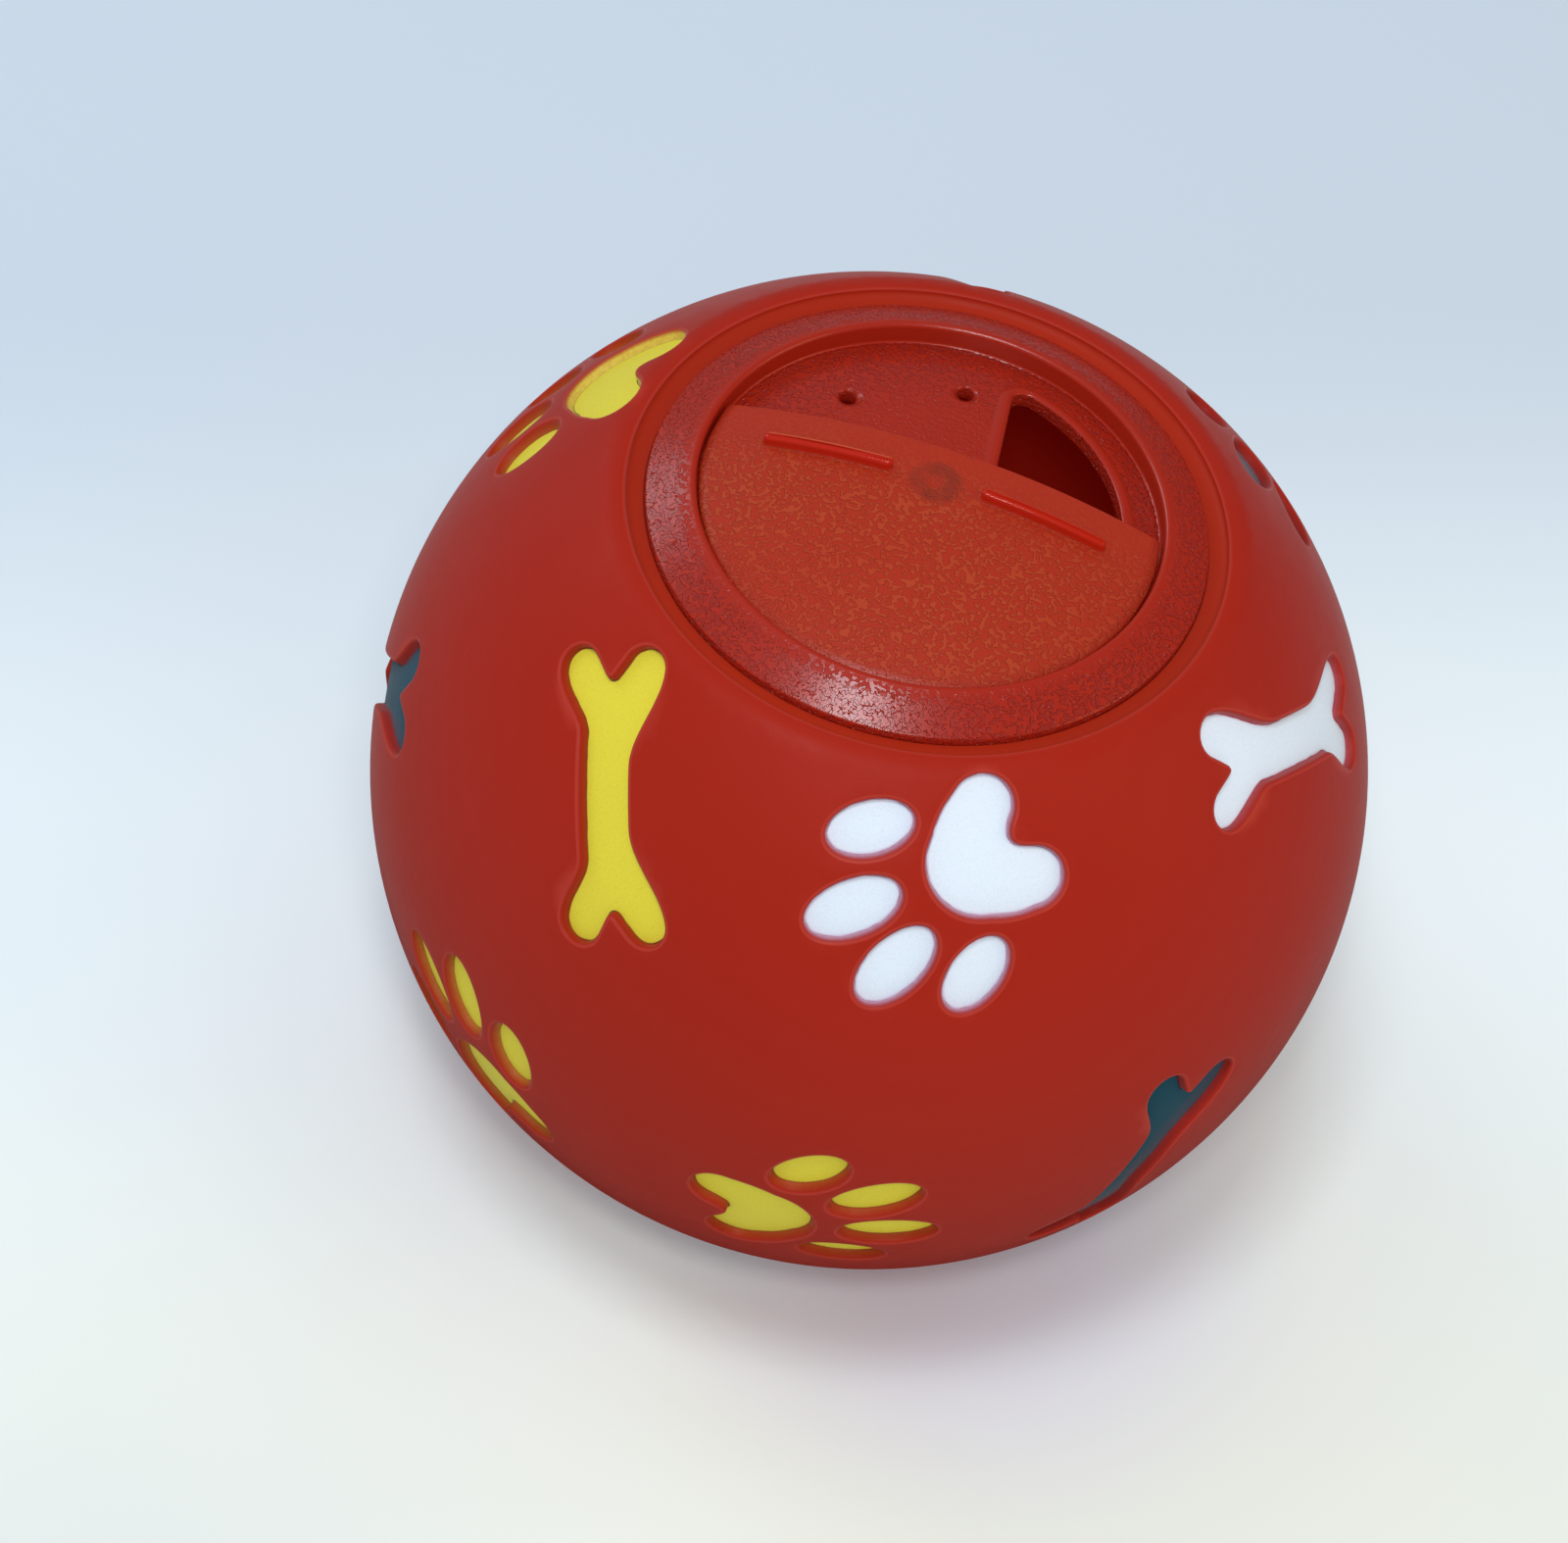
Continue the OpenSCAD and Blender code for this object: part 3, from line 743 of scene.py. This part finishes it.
def makePaint(name, shape, seed):
    draw = np.random.default_rng(seed)
    flats, edges, loops, inward = [], [], [], []  # inward: how far each corner is from the film's edge
    for outline in outlinesOf(shape, -paint["gap"]):
        edge = spaced(outline, paint["spacing"])
        normal = np.roll(edge, -1, 0) - np.roll(edge, 1, 0)
        normal = np.column_stack([normal[:, 1], -normal[:, 0]]) / np.linalg.norm(normal, axis=1)[:, None]
        wander = draw.normal(size=len(edge)) * paint["ragged"]
        wander = (np.roll(wander, 1) + 2 * wander + np.roll(wander, -1)) / 4
        edge = edge + normal * np.clip(wander, *paint["raggedLimits"])[:, None]
        loops.append(list(range(len(flats), len(flats) + len(edge))))
        flats.extend(edge.tolist())
        inward.extend([0.0] * len(edge))
    for grow in paint["rings"]:
        for outline in outlinesOf(shape, -paint["gap"] - grow):
            ring = spaced(outline, paint["spacing"])
            edges.extend(loopEdges(len(flats), len(ring)))
            flats.extend(ring.tolist())
            inward.extend([grow] * len(ring))
    low, high = np.min(flats, 0), np.max(flats, 0)
    steps = [np.arange(low[i], high[i], paint["gridSpacing"]) for i in (0, 1)]
    grid = np.stack(np.meshgrid(*steps), -1).reshape(-1, 2)
    inner = np.zeros(len(grid), bool)
    for outline in outlinesOf(shape, -paint["gap"]):
        inner |= signedDistance(grid, outline) < -paint["gridInside"]
    flats.extend(grid[inner].tolist())
    inward.extend([paint["gridInside"]] * int(inner.sum()))
    corners, _, faces, sources, *_ = delaunay_2d_cdt([Vector(p) for p in flats], edges, loops, 1, 1e-7)
    axes = motifAxes[name]
    points = onSphere(np.array([tuple(c) for c in corners]), axes, paint["floorRadius"] + paint["thickness"])
    piece, mesh = newPiece("paint_" + name, points, faces)
    addValues(mesh, "inward", [inward[source[0]] if source else 0.0 for source in sources])
    mesh.update()
    if sum(p.normal.dot(Vector(axes[0])) for p in mesh.polygons) < 0:
        mesh.flip_normals()
    thick = piece.modifiers.new("thickness", "SOLIDIFY")
    thick.thickness = paint["thickness"] * mm
    thick.offset = -1.0
    selectOnly(piece)
    bpy.ops.object.modifier_apply(modifier=thick.name)
    smooth(piece, paint["smoothAngle"])
    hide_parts(name)
    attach(piece, "ball")
    return piece


paintPieces = {}
for index, (name, shape, colour, *_) in enumerate(motifs):
    paintPieces[name] = makePaint(name, shape, paint["firstSeed"] + index)
print("paint:", len(paintPieces), "sprayed fields")


# snap-in plug
plug = {
    "flangeRadius": 29.645,
    "flangeHeight": 43.535,
    "lipHeight": 46.185,
    "lipRound": 0.5,
    "edgeRound": 0.35,
    "dishRadius": 24.53,
    "wallFoot": (0.35, 0.05),  # its rounding, and how high that stands above the floor's edge
    "neckInside": 25.395,
    # radius and height over the flange's seat, down the neck and round its snap bead
    "neck": [(29.645, 42.535), (29.545, 42.435), (27.395, 42.435), (27.395, 38.135), (28.145, 37.685),
             (28.295, 37.505), (28.295, 37.205), (28.145, 36.995), (27.395, 36.685), (27.195, 36.535),
             (25.595, 36.535), (25.395, 36.735)],
    "domeCentre": -29.496,
    "floorTop": 76.7,
    "floorUnder": 75.1,
    "floorStart": 3.2,
    "floorJoin": (0.5, 0.6),
    "hubRadius": 5.0,
    "hubFoot": 0.3,
    "hub": [(5.0, 43.204), (4.8, 43.004), (2.55, 43.004), (2.55, 46.954), (2.8, 47.204)],  # down, and up its bore
    "openingSide": 5.8,
    "openingLow": 2.0,
    "openingRadius": 20.2,
    "openingRound": 1.5,
    # how far outside the opening's outline, and how high above the floor: over the bead, and up the cut inside it
    "beadRings": [(1.6, -0.8), (1.6, 0.0), (1.45, 0.08), (1.22, 0.2), (0.98, 0.28), (0.75, 0.3), (0.15, 0.3)],
    "cutRings": [(0.0, -6.0), (0.0, -0.1), (0.04, 0.04), (0.14, 0.17), (0.3, 0.26), (0.47, 0.29), (0.6, 0.45),
                 (0.6, 4.0)],
    "holes": [(16.4, 132.7), (16.4, 87.1)],  # distance from the axis, and angle
    "holeRings": [(0.9, -4.0), (0.9, -0.5), (0.98, -0.32), (1.33, -0.08), (1.45, 0.03), (1.85, 0.3), (1.85, 2.0)],
    "steps": 256,
    "smoothAngle": 35,
}


def domeHeight(r, radius):
    return plug["domeCentre"] + math.sqrt(radius ** 2 - r ** 2)


def onDome(outline, radius, up):
    return [(x, y, domeHeight(math.hypot(x, y), radius) + up) for x, y in outline]


def domeSection(radius, start, end, count):
    return [(r, domeHeight(r, radius)) for r in np.linspace(start, end, count)]


def openingOutline(grow):
    p = plug
    inX, lowY = p["openingSide"] + p["openingRound"], p["openingRound"] - p["openingLow"]
    inRadius, corner = p["openingRadius"] - p["openingRound"], p["openingRound"] + grow
    a = (inX, math.sqrt(inRadius ** 2 - inX ** 2))
    c = (math.sqrt(inRadius ** 2 - lowY ** 2), lowY)
    angleA, angleC = (math.degrees(math.atan2(y, x)) for x, y in (a, c))
    side = between((inX - corner, a[1]), (inX - corner, lowY), 12)
    low = between((inX, lowY - corner), (c[0], lowY - corner), 12)
    return (arc(inX, lowY, corner, 180, 270, 10) + low + arc(*c, corner, -90, angleC, 10)
            + arc(0, 0, p["openingRadius"] + grow, angleC, angleA, 28)[1:-1] + arc(*a, corner, angleA, 180, 10) + side)


def plugSection():
    # from the hub out over the dish floor, its wall, the flange and the neck, and back below
    p = plug
    slope = math.atan2(p["lipHeight"] - p["flangeHeight"], p["flangeRadius"] - p["dishRadius"])
    lean, steep, over = math.degrees(slope), math.tan(slope), 1 / math.cos(slope)
    lipCentre = (p["dishRadius"] + p["lipRound"], p["lipHeight"] - p["lipRound"] * (over + steep))
    edgeCentre = (p["flangeRadius"] - p["edgeRound"], p["flangeHeight"] - p["edgeRound"] * (over - steep))
    lip = arc(*lipCentre, p["lipRound"], 180, 90 - lean, 8)
    edge = arc(*edgeCentre, p["edgeRound"], 90 - lean, 0, 6)
    foot, footUp = p["wallFoot"]
    footHeight = domeHeight(p["dishRadius"], p["floorTop"]) + foot + footUp
    section = p["hub"][-1:] + domeSection(p["floorTop"], p["floorStart"], p["dishRadius"] - foot, 24)
    section += arc(p["dishRadius"] - foot, footHeight, foot, -70, 0, 4)
    section += lip + between(lip[-1], edge[0], 6) + edge
    joinWide, joinDeep = p["floorJoin"]
    joinHeight = domeHeight(p["dishRadius"], p["floorUnder"]) - joinDeep
    section += p["neck"] + [(p["neckInside"], joinHeight), (p["dishRadius"], joinHeight)]
    section += domeSection(p["floorUnder"], p["dishRadius"] - joinWide, p["hubRadius"] + p["hubFoot"], 20)
    section += [(p["hubRadius"], domeHeight(p["hubRadius"], p["floorUnder"]) - p["hubFoot"])]
    return section + p["hub"][:-1]


def makePlug():
    p = plug
    piece = spinSection("plug_dressed", plugSection(), p["steps"])
    for name, rings, operation in (("bead", p["beadRings"], "UNION"), ("openingCut", p["cutRings"], "DIFFERENCE")):
        tool = stackRings(name, [onDome(openingOutline(grow), p["floorTop"], up) for grow, up in rings])
        boolean(piece, tool, operation)
    for r, angle in p["holes"]:
        x, y = turned([(r, 0)], angle)[0]
        rings = []
        for radius, up in p["holeRings"]:
            height = domeHeight(r, p["floorTop"]) + up
            rings.append([(*corner, height) for corner in arc(x, y, radius, 0, 360, 40)[:-1]])
        boolean(piece, stackRings("holeCut", rings), "DIFFERENCE")
    mergeAndTurnOut(piece)
    smooth(piece, p["smoothAngle"])
    return piece


plugPiece = makePlug()
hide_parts("insert_plug")
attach(plugPiece, "ball")
print("plug:", len(plugPiece.data.polygons), "faces")


# shutter
shutter = {
    "radius": 24.2,
    "domeRadius": 78.2,
    "underRadius": 77.2,
    "domeStart": 2.4,
    "domeEnd": 4.1,
    "edgeRound": 0.22,
    "edgeCorner": (0.066, 0.08),  # a point on that rounding: in from the rim, and down from the face
    "chord": 5.0,
    "turn": -6.0,
    "ribStart": 4.8,
    "ribEnd": 18.0,
    "ribHalf": 0.575,
    # how far outside the rib's outline, and how high above the dome
    "ribRings": [(0.08, -0.5), (0.08, 0.0), (0.03, 0.03), (0.0, 0.1), (0.0, 0.86), (-0.03, 1.02), (-0.1, 1.15),
                 (-0.2, 1.24), (-0.32, 1.285), (-0.45, 1.3)],
    "markRadii": (0.0, 0.4, 0.8, 1.1, 1.35, 1.5, 1.75),
    "markRadius": 1.5,
    "markDepth": 0.15,
    # radius and height over the shoulder, down the stud and round its snap head
    "stud": [(3.9, 47.304), (2.5, 47.304), (2.5, 42.904), (3.1, 42.884), (3.1, 42.454), (2.5, 41.404), (0.0, 41.404)],
    "slotLength": 12.0,
    "slotWidth": 1.2,
    "slotHeights": (40.404, 45.304),
    "steps": 256,
    "smoothAngle": 35,
}


def shutterSection():
    # from the sink mark out over the dome, round the rim, and back below to the stud
    s = shutter
    section = []
    for r in s["markRadii"]:
        dip = s["markDepth"] * (1 - min(r / s["markRadius"], 1.0) ** 2) ** 1.5
        section.append((r, domeHeight(r, s["domeRadius"]) - dip))
    e, (cornerIn, cornerDown) = s["edgeRound"], s["edgeCorner"]
    topEdge, lowEdge = domeHeight(s["radius"], s["domeRadius"]), domeHeight(s["radius"], s["underRadius"])
    section += domeSection(s["domeRadius"], s["domeStart"], s["radius"] - e, 26)
    section += [(s["radius"] - cornerIn, topEdge - cornerDown), (s["radius"], topEdge - e),
                (s["radius"], lowEdge + e), (s["radius"] - cornerIn, lowEdge + cornerDown)]
    return section + domeSection(s["underRadius"], s["radius"] - e, s["domeEnd"], 16) + s["stud"]


def stadium(start, end, half):
    # a band along x with round ends
    there = [(start, -half)] + between((start, -half), (end, -half), 20) + [(end, -half)]
    back = [(x, half) for x, _ in reversed(there)]
    return there + arc(end, 0, half, -90, 90, 10)[1:-1] + back + arc(start, 0, half, 90, 270, 10)[1:-1]


def makeShutter():
    s = shutter
    piece = spinSection("shutter_dressed", shutterSection(), s["steps"], closed=False)

    # the straight edge
    away = Vector((*turned([(0, 1)], s["turn"])[0], 0))
    editAll(piece)
    bpy.ops.mesh.bisect(plane_co=away * s["chord"] * mm, plane_no=away, use_fill=True, clear_outer=True, threshold=1e-7)
    toMode("OBJECT")
    for edge in piece.data.edges:  # only those of the cut face are rounded
        ends = [piece.data.vertices[i].co for i in edge.vertices]
        edge.select = all(abs(p.dot(away) - s["chord"] * mm) < 1e-6 for p in ends)
    toMode("EDIT")
    bpy.ops.mesh.select_mode(type="EDGE")
    bpy.ops.mesh.bevel(offset=s["edgeRound"] * mm, segments=3, affect="EDGES", clamp_overlap=True)
    bpy.ops.mesh.select_mode(type="VERT")
    toMode("OBJECT")

    # finger ribs, from below the dome to their round tops
    for side in (0, 180):
        rings = []
        for grow, up in s["ribRings"]:
            outline = stadium(s["ribStart"] + s["ribHalf"], s["ribEnd"], s["ribHalf"] + grow)
            rings.append(onDome(turned(outline, s["turn"] + side), s["domeRadius"], up))
        boolean(piece, stackRings("rib", rings), "UNION")

    # the slot that splits the stud
    bpy.ops.object.select_all(action="DESELECT")
    bpy.ops.mesh.primitive_cube_add(size=1, location=(0, 0, 0))
    slot = bpy.context.object
    low, high = s["slotHeights"]
    for corner in slot.data.vertices:
        x, y, z = corner.co
        x, y = turned([(x * s["slotLength"], y * s["slotWidth"])], s["turn"])[0]
        corner.co = (x * mm, y * mm, ((low + high) / 2 + z * (high - low)) * mm)
    boolean(piece, slot, "DIFFERENCE")
    mergeAndTurnOut(piece)
    smooth(piece, s["smoothAngle"])
    return piece


shutterPiece = makeShutter()
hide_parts("shutter")
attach(shutterPiece, "shutter")
print("shutter:", len(shutterPiece.data.polygons), "faces")


# finishes, with colours in linear red, green and blue
glow = {
    "colour": (1.0, 0.02, 0.006),
    "everywhere": 0.015,  # painted glow: a faint red self-light on all the red plastic, so that no crevice goes black, standing in for light through the thin plastic
}
vinyl = {
    "colour": (0.330, 0.0145, 0.0050),
    "cloudColour": (0.350, 0.0155, 0.0058),
    "cloud": (45.0, 3.0),
    # painted highlight: a lighter, pinker red along the recess rims and the crease, which are a little glossier too
    "rimHighlight": (0.50, 0.065, 0.045),
    "highlightShare": 0.5,
    "rimGloss": 0.12,
    "specular": 0.1,
    "roughness": 0.42,
    "satin": ((160.0, 4.0), (0.3, 0.7), (0.0, 0.1)),  # soft patches that are a little rougher
    "limbSheenTint": (1.0, 0.84, 0.82),  # a pale sheen towards the ball's limb, fading out below the middle: painted shade that keeps the belly darker
    "limbSheen": ((-35, 10), (0.0, 0.11)),
    "overspray": ((2600.0, 2.0), (0.3, 0.7), (0.8, 1.0)),
    # painted glow: a lighter, more orange red and a little self-light in the channel beside the plug's flange, standing
    # in for light through the thin plastic
    "channel": (0.36, 0.020, 0.005),
    "channelRadii": (31.72, 31.55),
    "channelHeights": (42.2, 42.4),
    "channelGlow": 0.15,
    # painted glow inside the ball
    "insideRadii": (52.6, 52.2),
    "insideHeights": (41.5, 40.5),
    "insideGlow": 0.045,
    "bumps": (((4200.0, 2.0), 0.012), ((320.0, 2.0), 0.03)),
}
grain = {
    "islands": ((2150.0, 0.0, 0.5, 0.35), (0.43, 0.51)),
    "patches": ((70.0, 2.0), (0.35, 0.65), (0.5, 1.0)),  # where the ground between the islands takes its painted tone: painted shade on the plug, a painted highlight on the shutter
    "bumps": (((5200.0, 2.0), 0.012),),
}
plugLook = {
    "colour": (0.345, 0.016, 0.0050),
    # painted shade: the ground between the grain's islands is darker
    "paintedGrooveTone": (0.27, 0.016, 0.010),
    "roughness": 0.25,
    "specular": 0.45,
    "depth": 0.16,
    "flange": (25.1, 26.7),
    "floor": ((12.0, 21.5), (0.25, 1.0)),  # the grain fades towards the middle of the floor
    "floorEnd": (24.5, 24.0),
    "bead": (76.8, 76.72),  # the bead round the opening stands above the dome and is smooth
}
shutterLook = {
    "colour": (0.37, 0.0240, 0.0078),
    # painted highlight: the ground between the grain's islands is lighter and more orange, as where it catches the
    # light
    "paintedGrooveTone": (0.395, 0.045, 0.012),
    "roughness": 0.36,
    "specular": 0.25,
    "depth": 0.12,
    "grained": ((4.5, -5.0), (0.15, 1.0)),
    # painted shade round the sink mark over the stud
    "sinkShade": (0.23, 0.024, 0.010),
    "sinkShadeRadii": (((3.3, 2.2),), ((0.4, 1.5), (0.3, 1.0))),
    "sinkShadePatches": ((420.0, 3.0), (0.3, 0.65), (0.3, 0.9)),
    # painted light: the ribs take a deeper, more saturated red, standing in for the pale reflection that the shutter's
    # face shows and their sides don't
    "rib": (0.43, 0.014, 0.004),
    "ribHeights": (0.12, 0.3),
    "ribGloss": 0.2,
    "back": (0.72, 0.20, 0.07),  # light that comes up through the thin top of a rib, along its back
    "backHeights": (0.85, 1.02),
    "backPlace": (0.22, 0.38),
    "backSides": ((2, -2), (0.2, 1.0)),
}
# edge: the colour across edgeWidth mm at a field's edge, where it meets the recess wall: a painted dark line of shade
# on the yellow and the teal, and on the white a lavender edge that is partly thin paint over the red and partly painted
# shade
paintLooks = {
    "yellow": {"colour": (0.74, 0.64, 0.045), "dark": (0.70, 0.58, 0.04), "edge": (0.16, 0.12, 0.03),
               "edgeWidth": 0.14, "roughness": 0.5, "specular": 0.15, "sheen": 0.05},
    "white": {"colour": (0.735, 0.835, 0.94), "dark": (0.69, 0.78, 0.89), "edge": (0.64, 0.60, 0.74),
              "edgeWidth": 0.3, "roughness": 0.5, "specular": 0.1, "sheen": 0.0},
    "teal": {"colour": (0.001, 0.060, 0.095), "dark": (0.002, 0.066, 0.100), "edge": (0.001, 0.02, 0.04),
             "edgeWidth": 0.2, "roughness": 0.27, "specular": 0.35, "sheen": 0.12},
}
sprayedPaint = {
    "sheenTint": (0.92, 0.96, 1.0),
    "specks": ((4500.0, 2.0, 0.6), (0.4, 0.75)),
    "bumps": (((5000.0, 2.0), 0.01),),
}


def addSheen(shader, weight, tint):
    shader.inputs["Sheen Weight"].default_value = weight
    shader.inputs["Sheen Roughness"].default_value = 0.35
    shader.inputs["Sheen Tint"].default_value = (*tint, 1)


def addBumps(material, shader, place, bumps):
    normal = None
    for pattern, depth in bumps:
        normal = bumpTo(material, shader, noise(material, place, *pattern), depth, normal)
    return normal


def redPlastic(name, look, turn=0.0):
    material, shader = newMaterial(name, look)
    # painted glow over the whole piece
    shader.inputs["Emission Color"].default_value = (*glow["colour"], 1)
    shader.inputs["Emission Strength"].default_value = glow["everywhere"]
    place = objectCoordinates(material, turn)
    x, y, z = splitUp(material, place)
    radius = math2(material, "SQRT", math2(material, "ADD", times(material, x, x), times(material, y, y)))
    return material, shader, place, (x, y, z), radius


def satinVinyl():
    v = vinyl
    material, shader, place, (_, _, z), radius = redPlastic("satinVinyl", v)
    addSheen(shader, 0.0, v["limbSheenTint"])
    # painted shade: the sheen fades out towards the bottom of the ball
    link(material, rampOver(material, z, *v["limbSheen"]), shader.inputs["Sheen Weight"])
    spray = addNode(material, "ShaderNodeAttribute", attribute_name="spray")
    # the edge values carry the painted highlight along the rims and the crease
    rimHighlight = addNode(material, "ShaderNodeAttribute", attribute_name="edge").outputs["Fac"]
    # painted glow: the channel beside the plug's flange takes a lighter, more orange red
    channel = times(material, rampOver(material, radius, v["channelRadii"]), rampOver(material, z, v["channelHeights"]))
    base = mixColour(material, noise(material, place, *v["cloud"]), v["colour"], v["cloudColour"])
    base = mixColour(material, times(material, rimHighlight, v["highlightShare"]), base, v["rimHighlight"])
    amount = times(material, spray.outputs["Alpha"], mottle(material, place, *v["overspray"]))
    base = mixColour(material, amount, base, spray.outputs["Color"])
    link(material, mixColour(material, channel, base, v["channel"]), shader.inputs["Base Color"])

    # painted glow, standing in for daylight that comes through the thin wall: a deep red glow inside the ball, and a
    # fainter one in the channel beside the plug's flange
    inside = times(material, rampOver(material, distanceFrom(material, place), v["insideRadii"]),
                   rampOver(material, z, v["insideHeights"]))
    inside = math2(material, "MAXIMUM", inside, times(material, channel, v["channelGlow"]))
    strength = ramp(material, inside, (0, 1), (glow["everywhere"], v["insideGlow"]))
    link(material, strength, shader.inputs["Emission Strength"])
    roughness = math2(material, "ADD", mottle(material, place, *v["satin"]), v["roughness"])
    roughness = math2(material, "SUBTRACT", roughness, times(material, rimHighlight, v["rimGloss"]))
    link(material, roughness, shader.inputs["Roughness"])
    addBumps(material, shader, place, v["bumps"])
    return material


def leather(material, place, look, share):
    # height of a moulded leather grain, flat winding islands a little above the ground, and its colour with painted
    # light: the ground between the islands takes the look's painted groove tone
    height = times(material, mottle(material, place, *grain["islands"]), share)
    ground = math2(material, "SUBTRACT", share, height)
    sunk = times(material, ground, mottle(material, place, *grain["patches"]))
    return mixColour(material, sunk, look["colour"], look["paintedGrooveTone"]), height


def finishGrained(material, shader, place, tone, height, depth):
    link(material, tone, shader.inputs["Base Color"])
    bumpTo(material, shader, height, depth, addBumps(material, shader, place, grain["bumps"]))
    return material


def grainedPlug():
    look = plugLook
    material, shader, place, _, radius = redPlastic("grainedPlug", look)
    onFlange = rampOver(material, radius, look["flange"])
    onFloor = times(material, rampOver(material, radius, *look["floor"]), rampOver(material, radius, look["floorEnd"]))
    fromCentre = distanceFrom(material, place, (0, 0, plug["domeCentre"]))
    onFloor = times(material, onFloor, rampOver(material, fromCentre, look["bead"]))
    share = math2(material, "ADD", onFlange, onFloor, clamp=True)
    tone, height = leather(material, place, look, share)
    return finishGrained(material, shader, place, tone, height, look["depth"])


def grainedShutter():
    look = shutterLook
    material, shader, place, (x, y, _), radius = redPlastic("grainedShutter", look, shutter["turn"])
    tone, height = leather(material, place, look, rampOver(material, y, *look["grained"]))
    fromCentre = distanceFrom(material, place, (0, 0, plug["domeCentre"]))
    above = math2(material, "SUBTRACT", fromCentre, shutter["domeRadius"] * mm)

    # painted shade: a darker, blotchy ring round the sink mark over the stud
    ring = times(material, *(rampOver(material, radius, *edge) for edge in look["sinkShadeRadii"]))
    blotch = times(material, ring, mottle(material, place, *look["sinkShadePatches"]))
    tone = mixColour(material, blotch, tone, look["sinkShade"])

    # smooth ribs in a deeper, more saturated red, which is painted light, with a painted bright line of light along the
    # back of the top
    rib = rampOver(material, above, look["ribHeights"])
    tone = mixColour(material, rib, tone, look["rib"])
    back = times(material, rampOver(material, above, look["backHeights"]), rampOver(material, y, look["backPlace"]))
    back = times(material, back, rampOver(material, x, *look["backSides"]))
    tone = mixColour(material, back, tone, look["back"])
    height = times(material, height, math2(material, "SUBTRACT", 1.0, rib))
    roughness = math2(material, "SUBTRACT", look["roughness"], times(material, rib, look["ribGloss"]))
    link(material, roughness, shader.inputs["Roughness"])
    return finishGrained(material, shader, place, tone, height, look["depth"])


def sprayed(name, look):
    material, shader = newMaterial(name, look)
    addSheen(shader, look["sheen"], sprayedPaint["sheenTint"])
    place = objectCoordinates(material)
    body = mixColour(material, mottle(material, place, *sprayedPaint["specks"]), look["colour"], look["dark"])
    # the field's edge takes the edge colour: painted shade, and on the white thin paint as well
    inward = addNode(material, "ShaderNodeAttribute", attribute_name="inward").outputs["Fac"]
    fromEdge = ramp(material, inward, (0.0, look["edgeWidth"]))
    link(material, mixColour(material, fromEdge, look["edge"], body), shader.inputs["Base Color"])
    addBumps(material, shader, place, sprayedPaint["bumps"])
    return material


ballShell.data.materials.append(satinVinyl())
plugPiece.data.materials.append(grainedPlug())
shutterPiece.data.materials.append(grainedShutter())
paintFinishes = {colour: sprayed(colour + "Paint", look) for colour, look in paintLooks.items()}
for name, _, colour, *_ in motifs:
    paintPieces[name].data.materials.append(paintFinishes[colour])
print("finishes: done")
